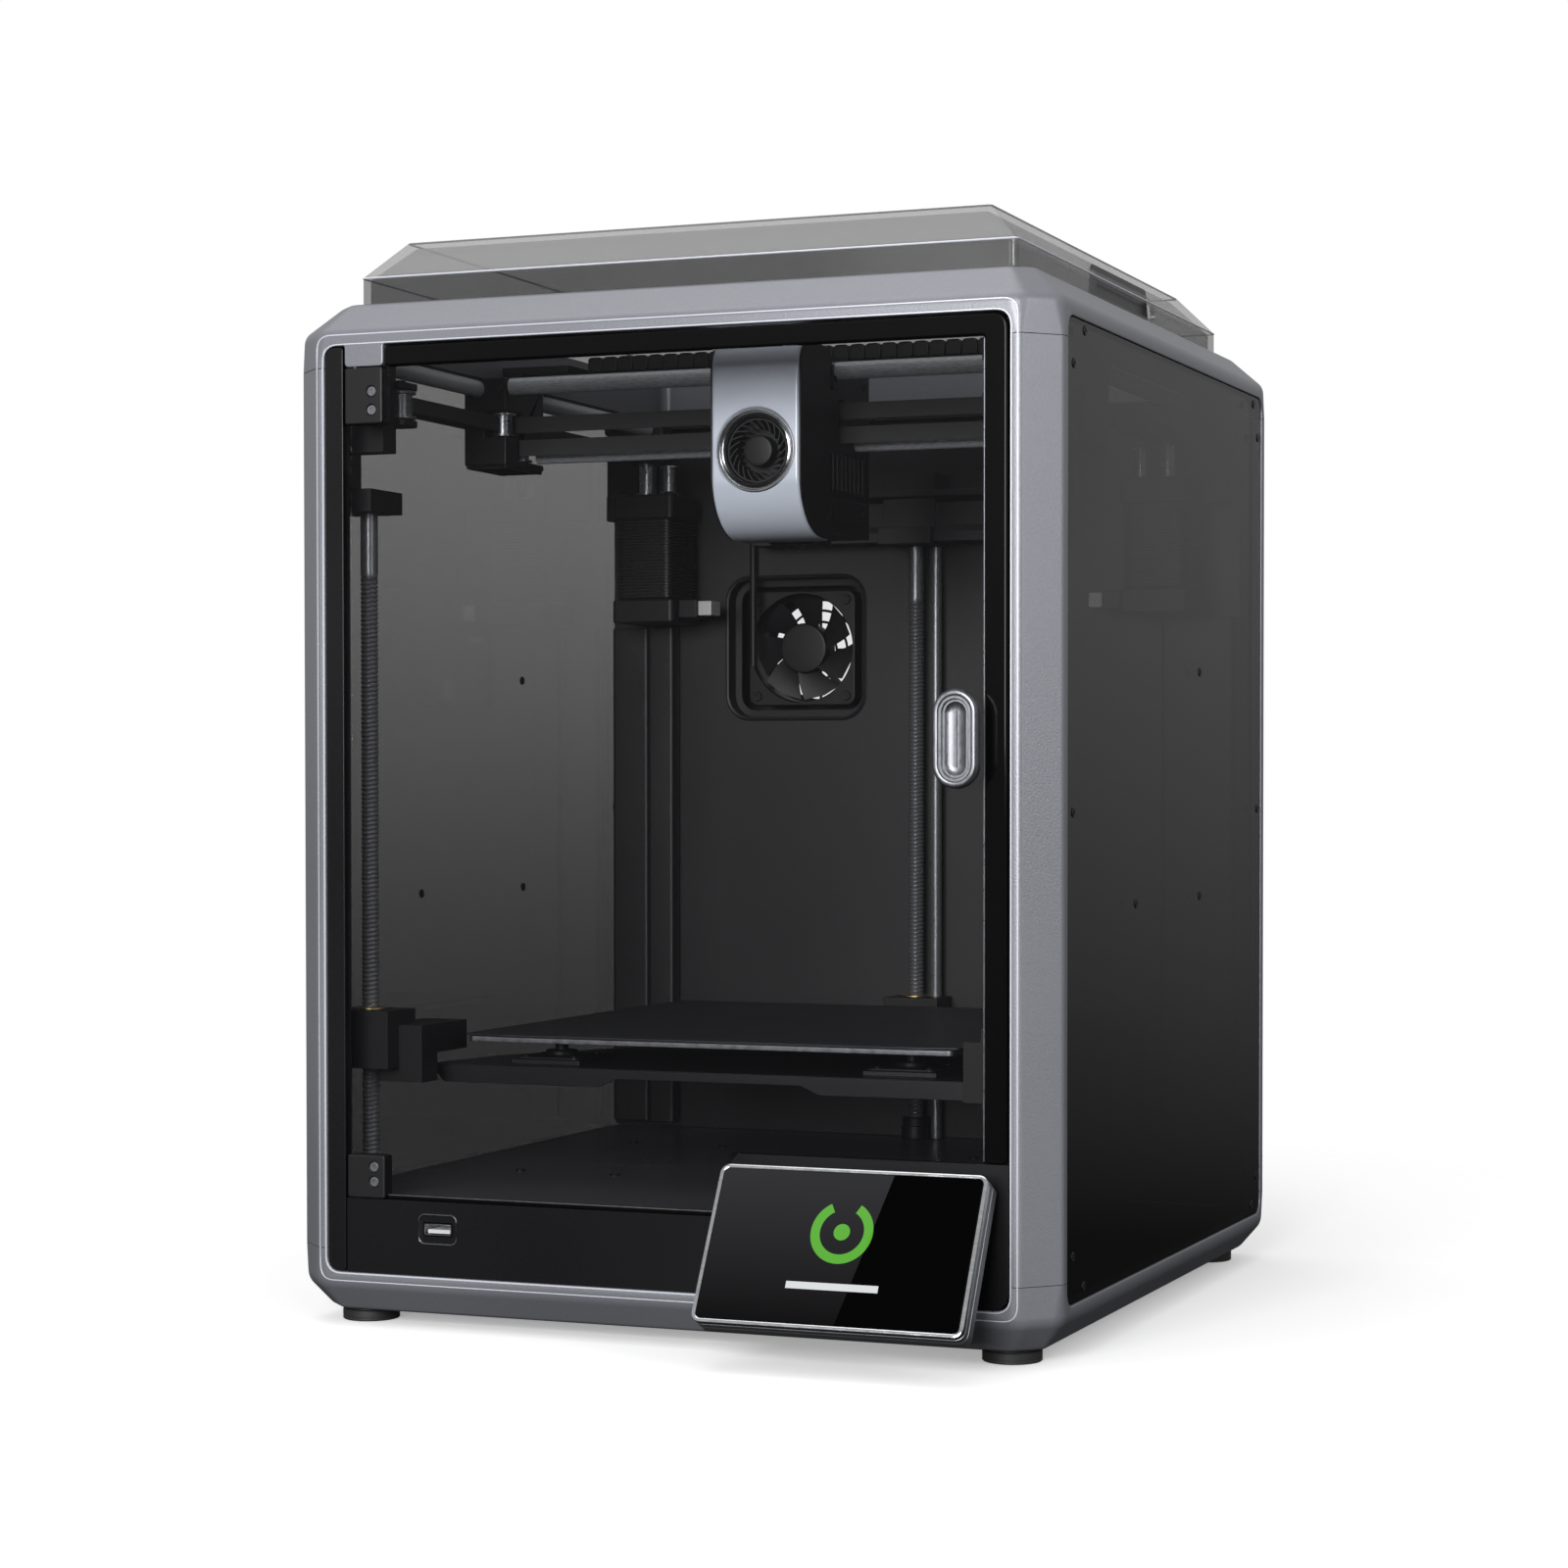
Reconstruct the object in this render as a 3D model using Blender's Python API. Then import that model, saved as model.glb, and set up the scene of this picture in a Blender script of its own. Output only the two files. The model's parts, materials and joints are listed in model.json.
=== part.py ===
"""Enclosed desktop fused-filament printer: frame, chamber, belt gantry, lifting bed, door and lid.

Sizes are in millimetres and become metres in the helpers. X runs to the right, Y to the back and
Z up. Places are given from the middle of the cabinet's footprint; ORIGIN_SHIFT then moves all of it
back, so that the origin is the middle of the whole outline, with the display that stands in front.
"""
import math

import bmesh
import bpy
from mathutils import Matrix, Vector

MM = 0.001
GAP = 0.3                       # clearance kept between neighbouring pieces

# Cabinet
HALF = 177.5                    # half of the cabinet's width and of its depth
CUT_X, CUT_Y = 14.5, 13.9       # the corner bevel's reach along X and along Y
WINDOW = 158.5                  # half-width of the window in the front and the sides
WINDOW_LOW, WINDOW_HIGH = 24.2, 430.0
SEAM_LOW, SEAM_HIGH = 34.2, 420.8
FRAME_LOW, FRAME_TOP = 6.0, 450.5
CHAMFER_LOW, CHAMFER_HIGH = 18.7, 436.2
INSET_LOW, INSET_HIGH = 10.6, 15.9
TOP_OPENING = 145.0             # half of the square opening under the lid
WALL = 170.8                    # half-width of the print chamber
BACK_WALL = 140.0               # the chamber's back wall
FLOOR = 57.0                    # the chamber floor's upper face
PANEL = 3.0
FOOT_AT, FOOT_RADIUS = (151.3, 151.5), 12.6

# Door
DOOR_FRONT, DOOR_BACK = -177.0, -173.0
DOOR_LEFT, DOOR_RIGHT = -147.8, 157.5
DOOR_LOW, DOOR_HIGH = 57.2, 429.3
NOTCH_LEFT, NOTCH_TOP = 35.0, 84.2      # the corner cut away around the display
HINGE_AXIS = (-144.4, -174.5)
PIN_RADIUS, PIN_BORE = 1.2, 1.5
HINGE_WIDTH, HINGE_HEIGHT = 18.6, 25.0
TAB = (-148.4, -129.2)                  # the frame's tab over the upper hinge
TAB_LOW_Z = SEAM_HIGH - GAP
HANDLE_AT = (139.3, 257.0)

# Display
DISPLAY_LEFT, DISPLAY_WIDTH = 36.9, 117.6
DISPLAY_TOP_Y, DISPLAY_TOP_Z = -190.0, 81.4
DISPLAY_HEIGHT, DISPLAY_DEPTH = 69.2, 13.0
DISPLAY_TILT = math.radians(28.6)
DISPLAY_FRONT = DISPLAY_TOP_Y - DISPLAY_HEIGHT * math.sin(DISPLAY_TILT)
ORIGIN_SHIFT = -(DISPLAY_FRONT + HALF) / 2

# Z drive and bed
SCREWS = {"front_left": (-157.5, -140.6), "front_right": (157.5, -140.6), "rear": (3.0, 133.0)}
RODS = {"front_left": (-164.3, -152.5), "front_right": (164.3, -152.5), "rear": (13.5, 134.0)}
SCREW_RADIUS, ROD_RADIUS, REAR_ROD_RADIUS = 4.0, 3.5, 2.8
SCREW_TOP = 364.0
BRACKET_LOW, BRACKET_HIGH = 359.7, 369.6
TRAY_TOP, TRAY_SHEET = 112.0, 2.0
TRAY_FRONT = -122.0
HEATER = (-116.4, 116.4, -126.0, 107.0, 122.8, 125.2)
PLATE_HALF, PLATE_THICK = 118.5, 0.9
NUT_LOW, NUT_HIGH = 106.5, 137.6
BED_MOUNTS = ((-85.5, -93.0), (85.5, -93.0), (0.0, 88.0))

# Gantry
Y_ROD_X, Y_ROD_Z = 146.4, 424.7
BLOCK = (130.6, 152.8, -60.0, -21.0, 388.4, 429.4)
UPPER_ROD = (-55.0, 425.4, 4.0)         # y, z and radius
LOWER_ROD = (-27.4, 394.5, 3.0)
BELT_Y = (-46.8, -45.4)
BELTS = {"upper": (404.5, 412.0), "lower": (393.6, 401.1)}
MOTOR = (119.5, 155.0, 103.0, 138.0)
MOTOR_BANDS = (322.0, 334.0, 375.5, 388.4)

# Print head
HEAD_X, HEAD_HALF = 13.4, 21.0
HEAD_FRONT, HEAD_SPLIT, HEAD_BACK = -100.0, -64.0, -12.0
HEAD_LOW, HEAD_HIGH = 348.0, 435.5
FAN_Z, FAN_HOLE = 386.3, 15.6
NOZZLE_Y, NOZZLE_TIP = -48.2, 345.4

# Rear
CHAMBER_FAN = (-66.5, 309.5)    # x and z of the fan behind the chamber
FAN_SIZE = 60.0
INLET_AT, SWITCH_AT = (118.0, 58.0), (118.0, 88.0)
ENTRY_PLATE = (101.0, 135.0, 99.0)                # left, right and top of the plate around both
SWITCH_PIVOT_Y, SWITCH_LEAN = 171.0, 7.0      # the rocker rests with its lower half pressed in


def clear_scene():
    """Removes every object, so that the model starts from nothing."""
    for item in list(bpy.data.objects):
        bpy.data.objects.remove(item)


def new_collection(name):
    """Adds a collection to the scene."""
    group = bpy.data.collections.new(name)
    bpy.context.scene.collection.children.link(group)
    return group


def new_material(name, colour, roughness, metallic=0.0):
    """Makes a plain principled material."""
    material = bpy.data.materials.new(name)
    material.use_nodes = True
    shader = material.node_tree.nodes["Principled BSDF"]
    shader.inputs["Base Color"].default_value = (*colour, 1.0)
    shader.inputs["Roughness"].default_value = roughness
    shader.inputs["Metallic"].default_value = metallic
    return material


clear_scene()
PARTS = new_collection("fdm_printer")
CUTTERS = new_collection("cutters")
GREY = new_material("grey_frame", (0.30, 0.31, 0.33), 0.4, 0.3)
BLACK = new_material("black_plastic", (0.02, 0.02, 0.022), 0.4)
SHEET = new_material("dark_sheet", (0.05, 0.05, 0.055), 0.5, 0.4)
SMOKED = new_material("smoked_panel", (0.03, 0.03, 0.035), 0.1)
GLASS = new_material("door_glass", (0.08, 0.08, 0.09), 0.05)
STEEL = new_material("bright_steel", (0.6, 0.62, 0.65), 0.25, 1.0)
SILVER = new_material("silver_trim", (0.7, 0.7, 0.72), 0.25, 1.0)
RUBBER = new_material("dark_rubber", (0.05, 0.05, 0.05), 0.7)


def place(x, y, z):
    """Turns a place from the cabinet's middle, in millimetres, into metres in the model's frame."""
    return Vector((x * MM, (y + ORIGIN_SHIFT) * MM, z * MM))


def finish(name, mesh, material, cutter=False):
    """Puts a mesh into an object, as a part or as a hidden cutter."""
    item = bpy.data.objects.new(name, mesh)
    (CUTTERS if cutter else PARTS).objects.link(item)
    item.hide_render = cutter
    item.display_type = "WIRE" if cutter else "TEXTURED"
    if material:
        mesh.materials.append(material)
    return item


def from_bmesh(name, shape, material, cutter=False):
    """Writes a bmesh into a new mesh with its faces pointing out."""
    bmesh.ops.recalc_face_normals(shape, faces=shape.faces[:])
    mesh = bpy.data.meshes.new(name)
    shape.to_mesh(mesh)
    shape.free()
    return finish(name, mesh, material, cutter)


def box(name, low, high, material=None, cutter=False):
    """A box between two corners."""
    shape = bmesh.new()
    bmesh.ops.create_cube(shape, size=1.0)
    low, high = place(*low), place(*high)
    size = high - low
    bmesh.ops.scale(shape, vec=size, verts=shape.verts[:])
    bmesh.ops.translate(shape, vec=(low + high) / 2, verts=shape.verts[:])
    return from_bmesh(name, shape, material, cutter)


AXIS_TURN = {"X": Matrix.Rotation(math.pi / 2, 4, "Y"), "Y": Matrix.Rotation(-math.pi / 2, 4, "X"),
             "Z": Matrix.Identity(4)}


def rod(name, centre, radius, length, axis, material=None, sides=16, cutter=False, tip=None):
    """A cylinder, or a cone where a tip radius is given, about its middle point."""
    shape = bmesh.new()
    bmesh.ops.create_cone(shape, cap_ends=True, segments=sides, radius1=radius * MM,
                          radius2=(radius if tip is None else tip) * MM, depth=length * MM,
                          matrix=Matrix.Translation(place(*centre)) @ AXIS_TURN[axis])
    return from_bmesh(name, shape, material, cutter)


def flat_solid(name, outlines, low, high, axis, material=None, cutter=False):
    """Outlines, the edge first and then its holes, given thickness between two places on an axis.

    The outline's two numbers are x, y for axis Z, x, z for axis Y and y, z for axis X.
    """
    curve = bpy.data.curves.new(name, "CURVE")
    curve.dimensions = "2D"
    curve.fill_mode = "BOTH"
    curve.extrude = (high - low) / 2 * MM
    for outline in outlines:
        spline = curve.splines.new("POLY")
        spline.points.add(len(outline) - 1)
        for point, (u, v) in zip(spline.points, outline):
            point.co = (u * MM, v * MM, 0.0, 1.0)
        spline.use_cyclic_u = True
    guide = bpy.data.objects.new(name, curve)
    bpy.context.scene.collection.objects.link(guide)
    mesh = bpy.data.meshes.new_from_object(guide.evaluated_get(bpy.context.evaluated_depsgraph_get()))
    bpy.data.objects.remove(guide)
    middle = (low + high) / 2
    turn = {"Z": Matrix(((1, 0, 0), (0, 1, 0), (0, 0, 1))), "Y": Matrix(((1, 0, 0), (0, 0, -1), (0, 1, 0))),
            "X": Matrix(((0, 0, 1), (1, 0, 0), (0, 1, 0)))}[axis].to_4x4()
    shift = {"Z": (0, 0, middle), "Y": (0, middle, 0), "X": (middle, 0, 0)}[axis]
    mesh.transform(Matrix.Translation(place(*shift)) @ turn)
    shape = bmesh.new()
    shape.from_mesh(mesh)
    bmesh.ops.remove_doubles(shape, verts=shape.verts[:], dist=1e-6)
    bpy.data.meshes.remove(mesh)
    return from_bmesh(name, shape, material, cutter)


def loft(name, sections, material=None, cutter=False):
    """Joins sections of equally many points by side faces, with a cap on each end."""
    shape = bmesh.new()
    rings = [[shape.verts.new(place(*point)) for point in section] for section in sections]
    for below, above in zip(rings, rings[1:]):
        for k in range(len(below)):
            n = (k + 1) % len(below)
            shape.faces.new((below[k], below[n], above[n], above[k]))
    shape.faces.new(rings[0][::-1])
    shape.faces.new(rings[-1])
    return from_bmesh(name, shape, material, cutter)


def combine(target, other, operation):
    """Cuts another piece away from the target, or unites it with it."""
    modifier = target.modifiers.new(other.name, "BOOLEAN")
    modifier.operation = operation
    modifier.object = other
    modifier.solver = "EXACT"


def cut(target, *cutters):
    """Cuts each cutter away from the target."""
    for other in cutters:
        combine(target, other, "DIFFERENCE")


def unite(target, *others):
    """Joins helper solids to the target."""
    for other in others:
        combine(target, other, "UNION")


def arc(centre, radius, start, end, steps):
    """Points of an arc, with angles in degrees."""
    turns = [math.radians(start + (end - start) * k / steps) for k in range(steps + 1)]
    return [(centre[0] + radius * math.cos(t), centre[1] + radius * math.sin(t)) for t in turns]


def rounded(x0, x1, y0, y1, radius, steps=3):
    """A rectangle with round corners."""
    corners = ((x1 - radius, y0 + radius, -90), (x1 - radius, y1 - radius, 0),
               (x0 + radius, y1 - radius, 90), (x0 + radius, y0 + radius, 180))
    return [p for x, y, a in corners for p in arc((x, y), radius, a, a + 90, steps)]


def stadium(x, y, width, height, steps=8):
    """An upright outline with half-round ends."""
    radius = width / 2
    straight = height / 2 - radius
    return (arc((x, y + straight), radius, 0, 180, steps)
            + arc((x, y - straight), radius, 180, 360, steps))


def cabinet_outline(inset, z):
    """The cabinet's eight-sided outline at one height, drawn in by an inset."""
    half, x, y = HALF - inset, HALF - CUT_X - inset * 0.6, HALF - CUT_Y - inset * 0.6
    return [(-x, -half, z), (x, -half, z), (half, -y, z), (half, y, z),
            (x, half, z), (-x, half, z), (-half, y, z), (-half, -y, z)]


def top_frame():
    """Top ring: bevelled outside, square opening for the lid, and the upper ends of the posts."""
    ring = loft("top_frame", [cabinet_outline(0, SEAM_HIGH), cabinet_outline(0, CHAMFER_HIGH),
                              cabinet_outline(INSET_HIGH, FRAME_TOP)], GREY)
    low, reach = SEAM_HIGH - 10, HALF + 10
    cut(ring,
        box("cut_top_opening", (-TOP_OPENING, -TOP_OPENING, low), (TOP_OPENING, TOP_OPENING, 460),
            cutter=True),
        box("cut_top_sides", (-reach, -WINDOW, low), (reach, WINDOW, WINDOW_HIGH), cutter=True),
        box("cut_top_rear", (-WINDOW, 0, low), (WINDOW, reach, WINDOW_HIGH), cutter=True),
        box("cut_top_front_left", (-WINDOW, -reach, low), (TAB[0], 0, WINDOW_HIGH), cutter=True),
        box("cut_top_front_right", (TAB[1], -reach, low), (WINDOW, 0, WINDOW_HIGH), cutter=True),
        box("cut_top_behind_tab", (TAB[0] - 1, -171.5, low), (TAB[1] + 1, 0, WINDOW_HIGH), cutter=True),
        rod("cut_top_pin", (*HINGE_AXIS, SEAM_HIGH), PIN_BORE, 8, "Z", cutter=True))


def base_tray():
    """Bottom moulding: a shallow tray with bevelled sides and the lower ends of the posts."""
    tray = loft("base_tray", [cabinet_outline(INSET_LOW, FRAME_LOW), cabinet_outline(0, CHAMFER_LOW),
                              cabinet_outline(0, SEAM_LOW)], GREY)
    reach = HALF + 10
    cut(tray,
        box("cut_base_inside", (-152, -152, 9), (152, 152, 60), cutter=True),
        box("cut_base_sides", (-reach, -WINDOW, WINDOW_LOW), (reach, WINDOW, 60), cutter=True),
        box("cut_base_ends", (-WINDOW, -reach, WINDOW_LOW), (WINDOW, reach, 60), cutter=True))


def posts():
    """Four corner posts between the two frames, bevelled outside and hollowed inside."""
    outline = [(WINDOW, HALF), (HALF - CUT_X, HALF), (HALF, HALF - CUT_Y), (HALF, WINDOW),
               (172.4, WINDOW), (172.4, 162.0), (163.2, 171.3), (WINDOW, 171.3)]
    for side, word in ((-1, "left"), (1, "right")):
        for end, place_word in ((-1, "front"), (1, "rear")):
            points = [(side * x, end * y) for x, y in outline]
            flat_solid(f"post_{place_word}_{word}", [points], SEAM_LOW + GAP, SEAM_HIGH - GAP, "Z", GREY)


def cabinet_panels():
    """Smoked side panels, the steel rear panel, the chamber's back wall and its floor."""
    low, high, reach = WINDOW_LOW + GAP, WINDOW_HIGH - GAP, WINDOW - GAP
    edge = rounded(-reach, reach, low, high, 6.5)
    flat_solid("side_panel_left", [edge], -176.8, -176.8 + PANEL, "X", SMOKED)
    flat_solid("side_panel_right", [edge], 176.8 - PANEL, 176.8, "X", SMOKED)
    x, z = CHAMBER_FAN
    back = flat_solid("rear_panel", [edge, arc((x, z), 27, 0, 345, 23)], 173.8, 175.8, "Y", SHEET)
    left, right, top = ENTRY_PLATE
    cut(back, box("cut_panel_entry", (left - GAP, 170, low - 5), (right + GAP, 180, top + GAP), cutter=True))
    recess = rounded(x - 38.0, x + 38.0, z - 36.3, z + 36.3, 12)
    wall = rounded(-WALL, WALL, FLOOR + GAP, 419.0, 1, 1)
    flat_solid("chamber_back_wall", [wall, recess], BACK_WALL, BACK_WALL + 2, "Y", SHEET)
    holes = [arc(at, SCREW_RADIUS + 0.6, 0, 330, 11) for at in SCREWS.values()]
    flat_solid("chamber_floor", [rounded(-WALL, WALL, -170.6, BACK_WALL - GAP, 8, 1), *holes],
               FLOOR - 2.5, FLOOR, "Z", SHEET)


def front_trims():
    """The black strip left of the door, and the lower bezel with the display's plinth and arm."""
    low, front, back = WINDOW_LOW + GAP, -177.0, -171.0
    flat_solid("left_trim", [rounded(-WINDOW + GAP, -149.6, low, WINDOW_HIGH - GAP, 3, 2)],
               front + 0.4, back, "Y", BLACK)
    right = WINDOW - GAP
    edge = [(-148.7, low), *arc((right - 6.5, low + 6.5), 6.5, -90, 0, 3), (right, NOTCH_TOP - GAP),
            (NOTCH_LEFT + 3.5, NOTCH_TOP - GAP), (NOTCH_LEFT + GAP, NOTCH_TOP - 4),
            (NOTCH_LEFT + GAP, DOOR_LOW - GAP), (-148.7, DOOR_LOW - GAP)]
    slot = rounded(-111.0, -96.7, 41.8, 47.9, 0.6, 1)
    bezel = flat_solid("lower_bezel", [edge, slot], front, back, "Y", BLACK)
    cut(bezel, rod("cut_bezel_pin", (*HINGE_AXIS, DOOR_LOW), PIN_BORE, 8, "Z", cutter=True))
    reach = DISPLAY_TOP_Y + DISPLAY_DEPTH / math.cos(DISPLAY_TILT) + GAP
    slope = math.tan(DISPLAY_TILT)
    heights = (42.0, 58.0)
    backs = [reach - (DISPLAY_TOP_Z - z) * slope for z in heights]
    arm = [(front + 1, heights[0]), (backs[0], heights[0]), (backs[1], heights[1]), (front + 1, heights[1])]
    unite(bezel, flat_solid("add_display_arm", [arm], 72, 120, "X", cutter=True))
    shell = box("usb_port", (-110.7, front + 0.2, 42.1), (-97.0, -163, 47.6), SILVER)
    cut(shell, box("cut_usb", (-110.2, front - 5, 42.6), (-97.5, -166, 47.1), cutter=True))


def display():
    """Tilted display: a housing with a shallow front recess, and the glass that lies in it."""
    width, height = DISPLAY_WIDTH, DISPLAY_HEIGHT
    turn = Matrix.Rotation(-DISPLAY_TILT, 4, "X")
    corner = place(DISPLAY_LEFT, DISPLAY_TOP_Y, DISPLAY_TOP_Z)

    def lean(item):
        """Moves a solid from upright, with its top left corner at the cabinet's middle, into place."""
        item.data.transform(Matrix.Translation(-place(0, 0, 0)))
        item.data.transform(Matrix.Translation(corner) @ turn)

    edge = rounded(0, width, -height, 0, 4)
    back = rounded(3, width - 3, -height + 3, -3, 4)
    sections = [[(x, y, z) for x, z in outline]
                for y, outline in ((0, edge), (DISPLAY_DEPTH - 4, edge), (DISPLAY_DEPTH, back))]
    housing = loft("display_housing", sections, GREY)
    pocket = flat_solid("cut_display", [rounded(1.8, width - 1.8, -height + 1.8, -1.8, 3)], -5, 1.5, "Y",
                        cutter=True)
    glass = flat_solid("display_glass", [rounded(2.1, width - 2.1, -height + 2.1, -2.1, 2.8)], 0.1, 1.2, "Y",
                       GLASS)
    for item in (housing, pocket, glass):
        lean(item)
    cut(housing, pocket)


def feet():
    """Four round feet."""
    for side, word in ((-1, "left"), (1, "right")):
        for end, place_word in ((-1, "front"), (1, "rear")):
            rod(f"foot_{place_word}_{word}", (side * FOOT_AT[0], end * FOOT_AT[1], (FRAME_LOW - GAP) / 2),
                FOOT_RADIUS, FRAME_LOW - GAP, "Z", RUBBER, sides=32)


def z_drive():
    """Three lead screws with their pulleys, three guide rods, the motor under the floor, a supply."""
    for word, (x, y) in SCREWS.items():
        low = 30.0
        screw = rod(f"lead_screw_{word}", (x, y, (low + SCREW_TOP) / 2), SCREW_RADIUS, SCREW_TOP - low, "Z",
                    STEEL)
        inside = 152 - 1.5
        reach = min(8.0, inside - abs(x), inside - abs(y)) if max(abs(x), abs(y)) < inside else 5.5
        unite(screw, rod(f"add_pulley_{word}", (x, y, 38), reach, 10, "Z", cutter=True))
        rod_x, rod_y = RODS[word]
        radius = REAR_ROD_RADIUS if word == "rear" else ROD_RADIUS
        rod(f"guide_rod_{word}", (rod_x, rod_y, (FLOOR + BRACKET_LOW) / 2), radius,
            BRACKET_LOW - FLOOR - 2 * GAP, "Z", STEEL)
    motor = box("z_motor", (20, 40, 9.3), (62, 82, 48), BLACK)
    unite(motor, rod("add_z_shaft", (41, 61, 50), 5, 6, "Z", cutter=True))
    box("power_supply", (-90, -60, 9.3), (10, 20, 42), SILVER)


def corner_brackets():
    """Castings on the front corners: they hold a screw's top, a Y rod's end and a belt idler."""
    for side, word in ((-1, "left"), (1, "right")):
        def corner(label, x0, x1, y0, y1, z0, z1, **kind):
            low, high = sorted((side * x0, side * x1))
            return box(label, (low, y0, z0), (high, y1, z1), **kind)
        wall = WALL - GAP
        bracket = corner(f"corner_bracket_{word}", 146.5, wall, -158.2, -130, BRACKET_LOW, BRACKET_HIGH,
                         material=BLACK)
        unite(bracket,
              corner(f"add_bracket_wall_{word}", 167.0, wall + 0.1, -158.0, -131, BRACKET_LOW + 1, 429.6,
                     cutter=True),
              corner(f"add_bracket_top_{word}", 140.5, wall - 1, -157.6, -146, 385.6, 429.6, cutter=True))
        screw_x, screw_y = SCREWS[f"front_{word}"]
        cut(bracket,
            rod(f"cut_bracket_screw_{word}", (screw_x, screw_y, BRACKET_LOW), SCREW_RADIUS + 0.4, 10, "Z",
                cutter=True),
            rod(f"cut_bracket_rod_{word}", (side * Y_ROD_X, -152, Y_ROD_Z), 4.3, 16, "Y", cutter=True))


def rear_rail():
    """Pressed rail across the chamber's back, with the bracket that holds the rear screw's top."""
    back = BACK_WALL - GAP
    profile = [(back, 361), (118, 361), (118, 366), (121, 369), (121, 381), (118, 384), (118, 387),
               (back, 387)]
    rail = flat_solid("rear_rail", [profile], -82, 82, "X", SHEET)
    x, y = SCREWS["rear"]
    unite(rail, box("add_rear_bracket", (x - 13, 112, BRACKET_LOW), (x + 15, back - 1, 368),
                    cutter=True),
          box("add_rear_gusset", (x - 13, 119, 364), (x + 15, back - 1, 396), cutter=True))
    cut(rail, rod("cut_rear_screw", (x, y, BRACKET_LOW), SCREW_RADIUS + 0.4, 12, "Z", cutter=True))


def nut_bracket(word):
    """The block that carries the bed on one screw and its guide rod."""
    x, y = SCREWS[f"front_{word}"]
    side = 1 if x > 0 else -1
    low, high = sorted((side * 139.4, side * 169.8))
    block = box(f"nut_bracket_{word}", (low, y - 16.8, 112), (high, y + 8.5, NUT_HIGH), BLACK)
    arm_low, arm_high = sorted((side * 128.0, side * 150.0))
    unite(block, box(f"add_nut_arm_{word}", (arm_low, y - 6.5, NUT_LOW - 1), (arm_high, y + 8, 131),
                     cutter=True),
          box(f"add_nut_foot_{word}", (arm_low, y - 6.5, 118), (arm_high, -105, 131), cutter=True))
    rod_x, rod_y = RODS[f"front_{word}"]
    cut(block,
        rod(f"cut_nut_screw_{word}", (x, y, 120), SCREW_RADIUS + 0.4, 60, "Z", cutter=True),
        rod(f"cut_nut_rod_{word}", (rod_x, rod_y, 120), ROD_RADIUS + 0.4, 60, "Z", cutter=True))


def bed():
    """Lifting bed: tray with arms to three nuts, heater and removable build plate."""
    front = [(-139, TRAY_FRONT), (139, TRAY_FRONT), (127, -70), (84, 0), (40, 100), (16, 117), (-12, 117),
             (-40, 100), (-84, 0), (-127, -70)]
    tray = flat_solid("bed_tray", [front], TRAY_TOP - TRAY_SHEET, TRAY_TOP, "Z", BLACK)
    lip = [(-138, 111.5), (-130, 103.8), (-53, 103.8), (-44, 107.7), (44, 107.7), (53, 103.8),
           (130, 103.8), (138, 111.5)]
    unite(tray, flat_solid("add_tray_lip", [lip], TRAY_FRONT - 0.5, TRAY_FRONT + 1.5, "Y", cutter=True))
    for k, (x, y) in enumerate(BED_MOUNTS):
        unite(tray, box(f"add_mount_base_{k}", (x - 17, y - 17, TRAY_TOP - 1), (x + 17, y + 17, 114),
                        cutter=True),
              rod(f"add_mount_post_{k}", (x, y, 117.4), 3, 10, "Z", cutter=True))
    for word in ("left", "right"):
        nut_bracket(word)
    x, y = SCREWS["rear"]
    rod_x, rod_y = RODS["rear"]
    nut = box("nut_bracket_rear", (x - 12, 117.6, 106.5), (x + 17, 139, 130), BLACK)
    cut(nut, rod("cut_nut_screw_rear", (x, y, 118), SCREW_RADIUS + 0.4, 60, "Z", cutter=True),
        rod("cut_nut_rod_rear", (rod_x, rod_y, 118), REAR_ROD_RADIUS + 0.4, 60, "Z", cutter=True))
    x0, x1, y0, y1, z0, z1 = HEATER
    box("heater_plate", (x0, y0, z0), (x1, y1, z1), SILVER)
    low = z1 + GAP
    plate = [(-PLATE_HALF, -124), (-PLATE_HALF + 20, -128), (PLATE_HALF - 20, -128), (PLATE_HALF, -124),
             (PLATE_HALF, 109), (-PLATE_HALF, 109)]
    flat_solid("build_plate", [plate], low, low + PLATE_THICK, "Z", SHEET)


def gantry():
    """Blocks on the two Y rods, the two X rods between them and the belts' runs across."""
    x0, x1, y0, y1, z0, z1 = BLOCK
    for side, word in ((-1, "left"), (1, "right")):
        low, high = sorted((side * x0, side * x1))
        block = box(f"gantry_block_{word}", (low, y0, z0), (high, y1, z1), BLACK)
        inner, outer = sorted((side * (x0 - 2), side * (x0 + 11.5)))
        cut(block,
            rod(f"cut_block_rod_{word}", (side * Y_ROD_X, (y0 + y1) / 2, Y_ROD_Z), 4.35, 60, "Y",
                cutter=True),
            box(f"cut_block_idler_{word}", (inner, y0 - 2, 402), (outer, -44, 413.5), cutter=True),
            box(f"cut_block_rear_idler_{word}", (inner, -47, 391.5), (outer, y1 + 2, 401.6), cutter=True))
        y_low, y_high = -157.0, BACK_WALL - 1
        rod(f"y_rod_{word}", (side * Y_ROD_X, (y_low + y_high) / 2, Y_ROD_Z), 4, y_high - y_low, "Y", STEEL)
    for word, (y, z, radius) in (("upper", UPPER_ROD), ("lower", LOWER_ROD)):
        rod(f"x_rod_{word}", (0, y, z), radius, 2 * (x0 - GAP), "X", STEEL, sides=20)
    for word, (low, high) in BELTS.items():
        box(f"drive_belt_{word}", (-x0 - 4, BELT_Y[0], low), (x0 + 4, BELT_Y[1], high), RUBBER)


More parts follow.
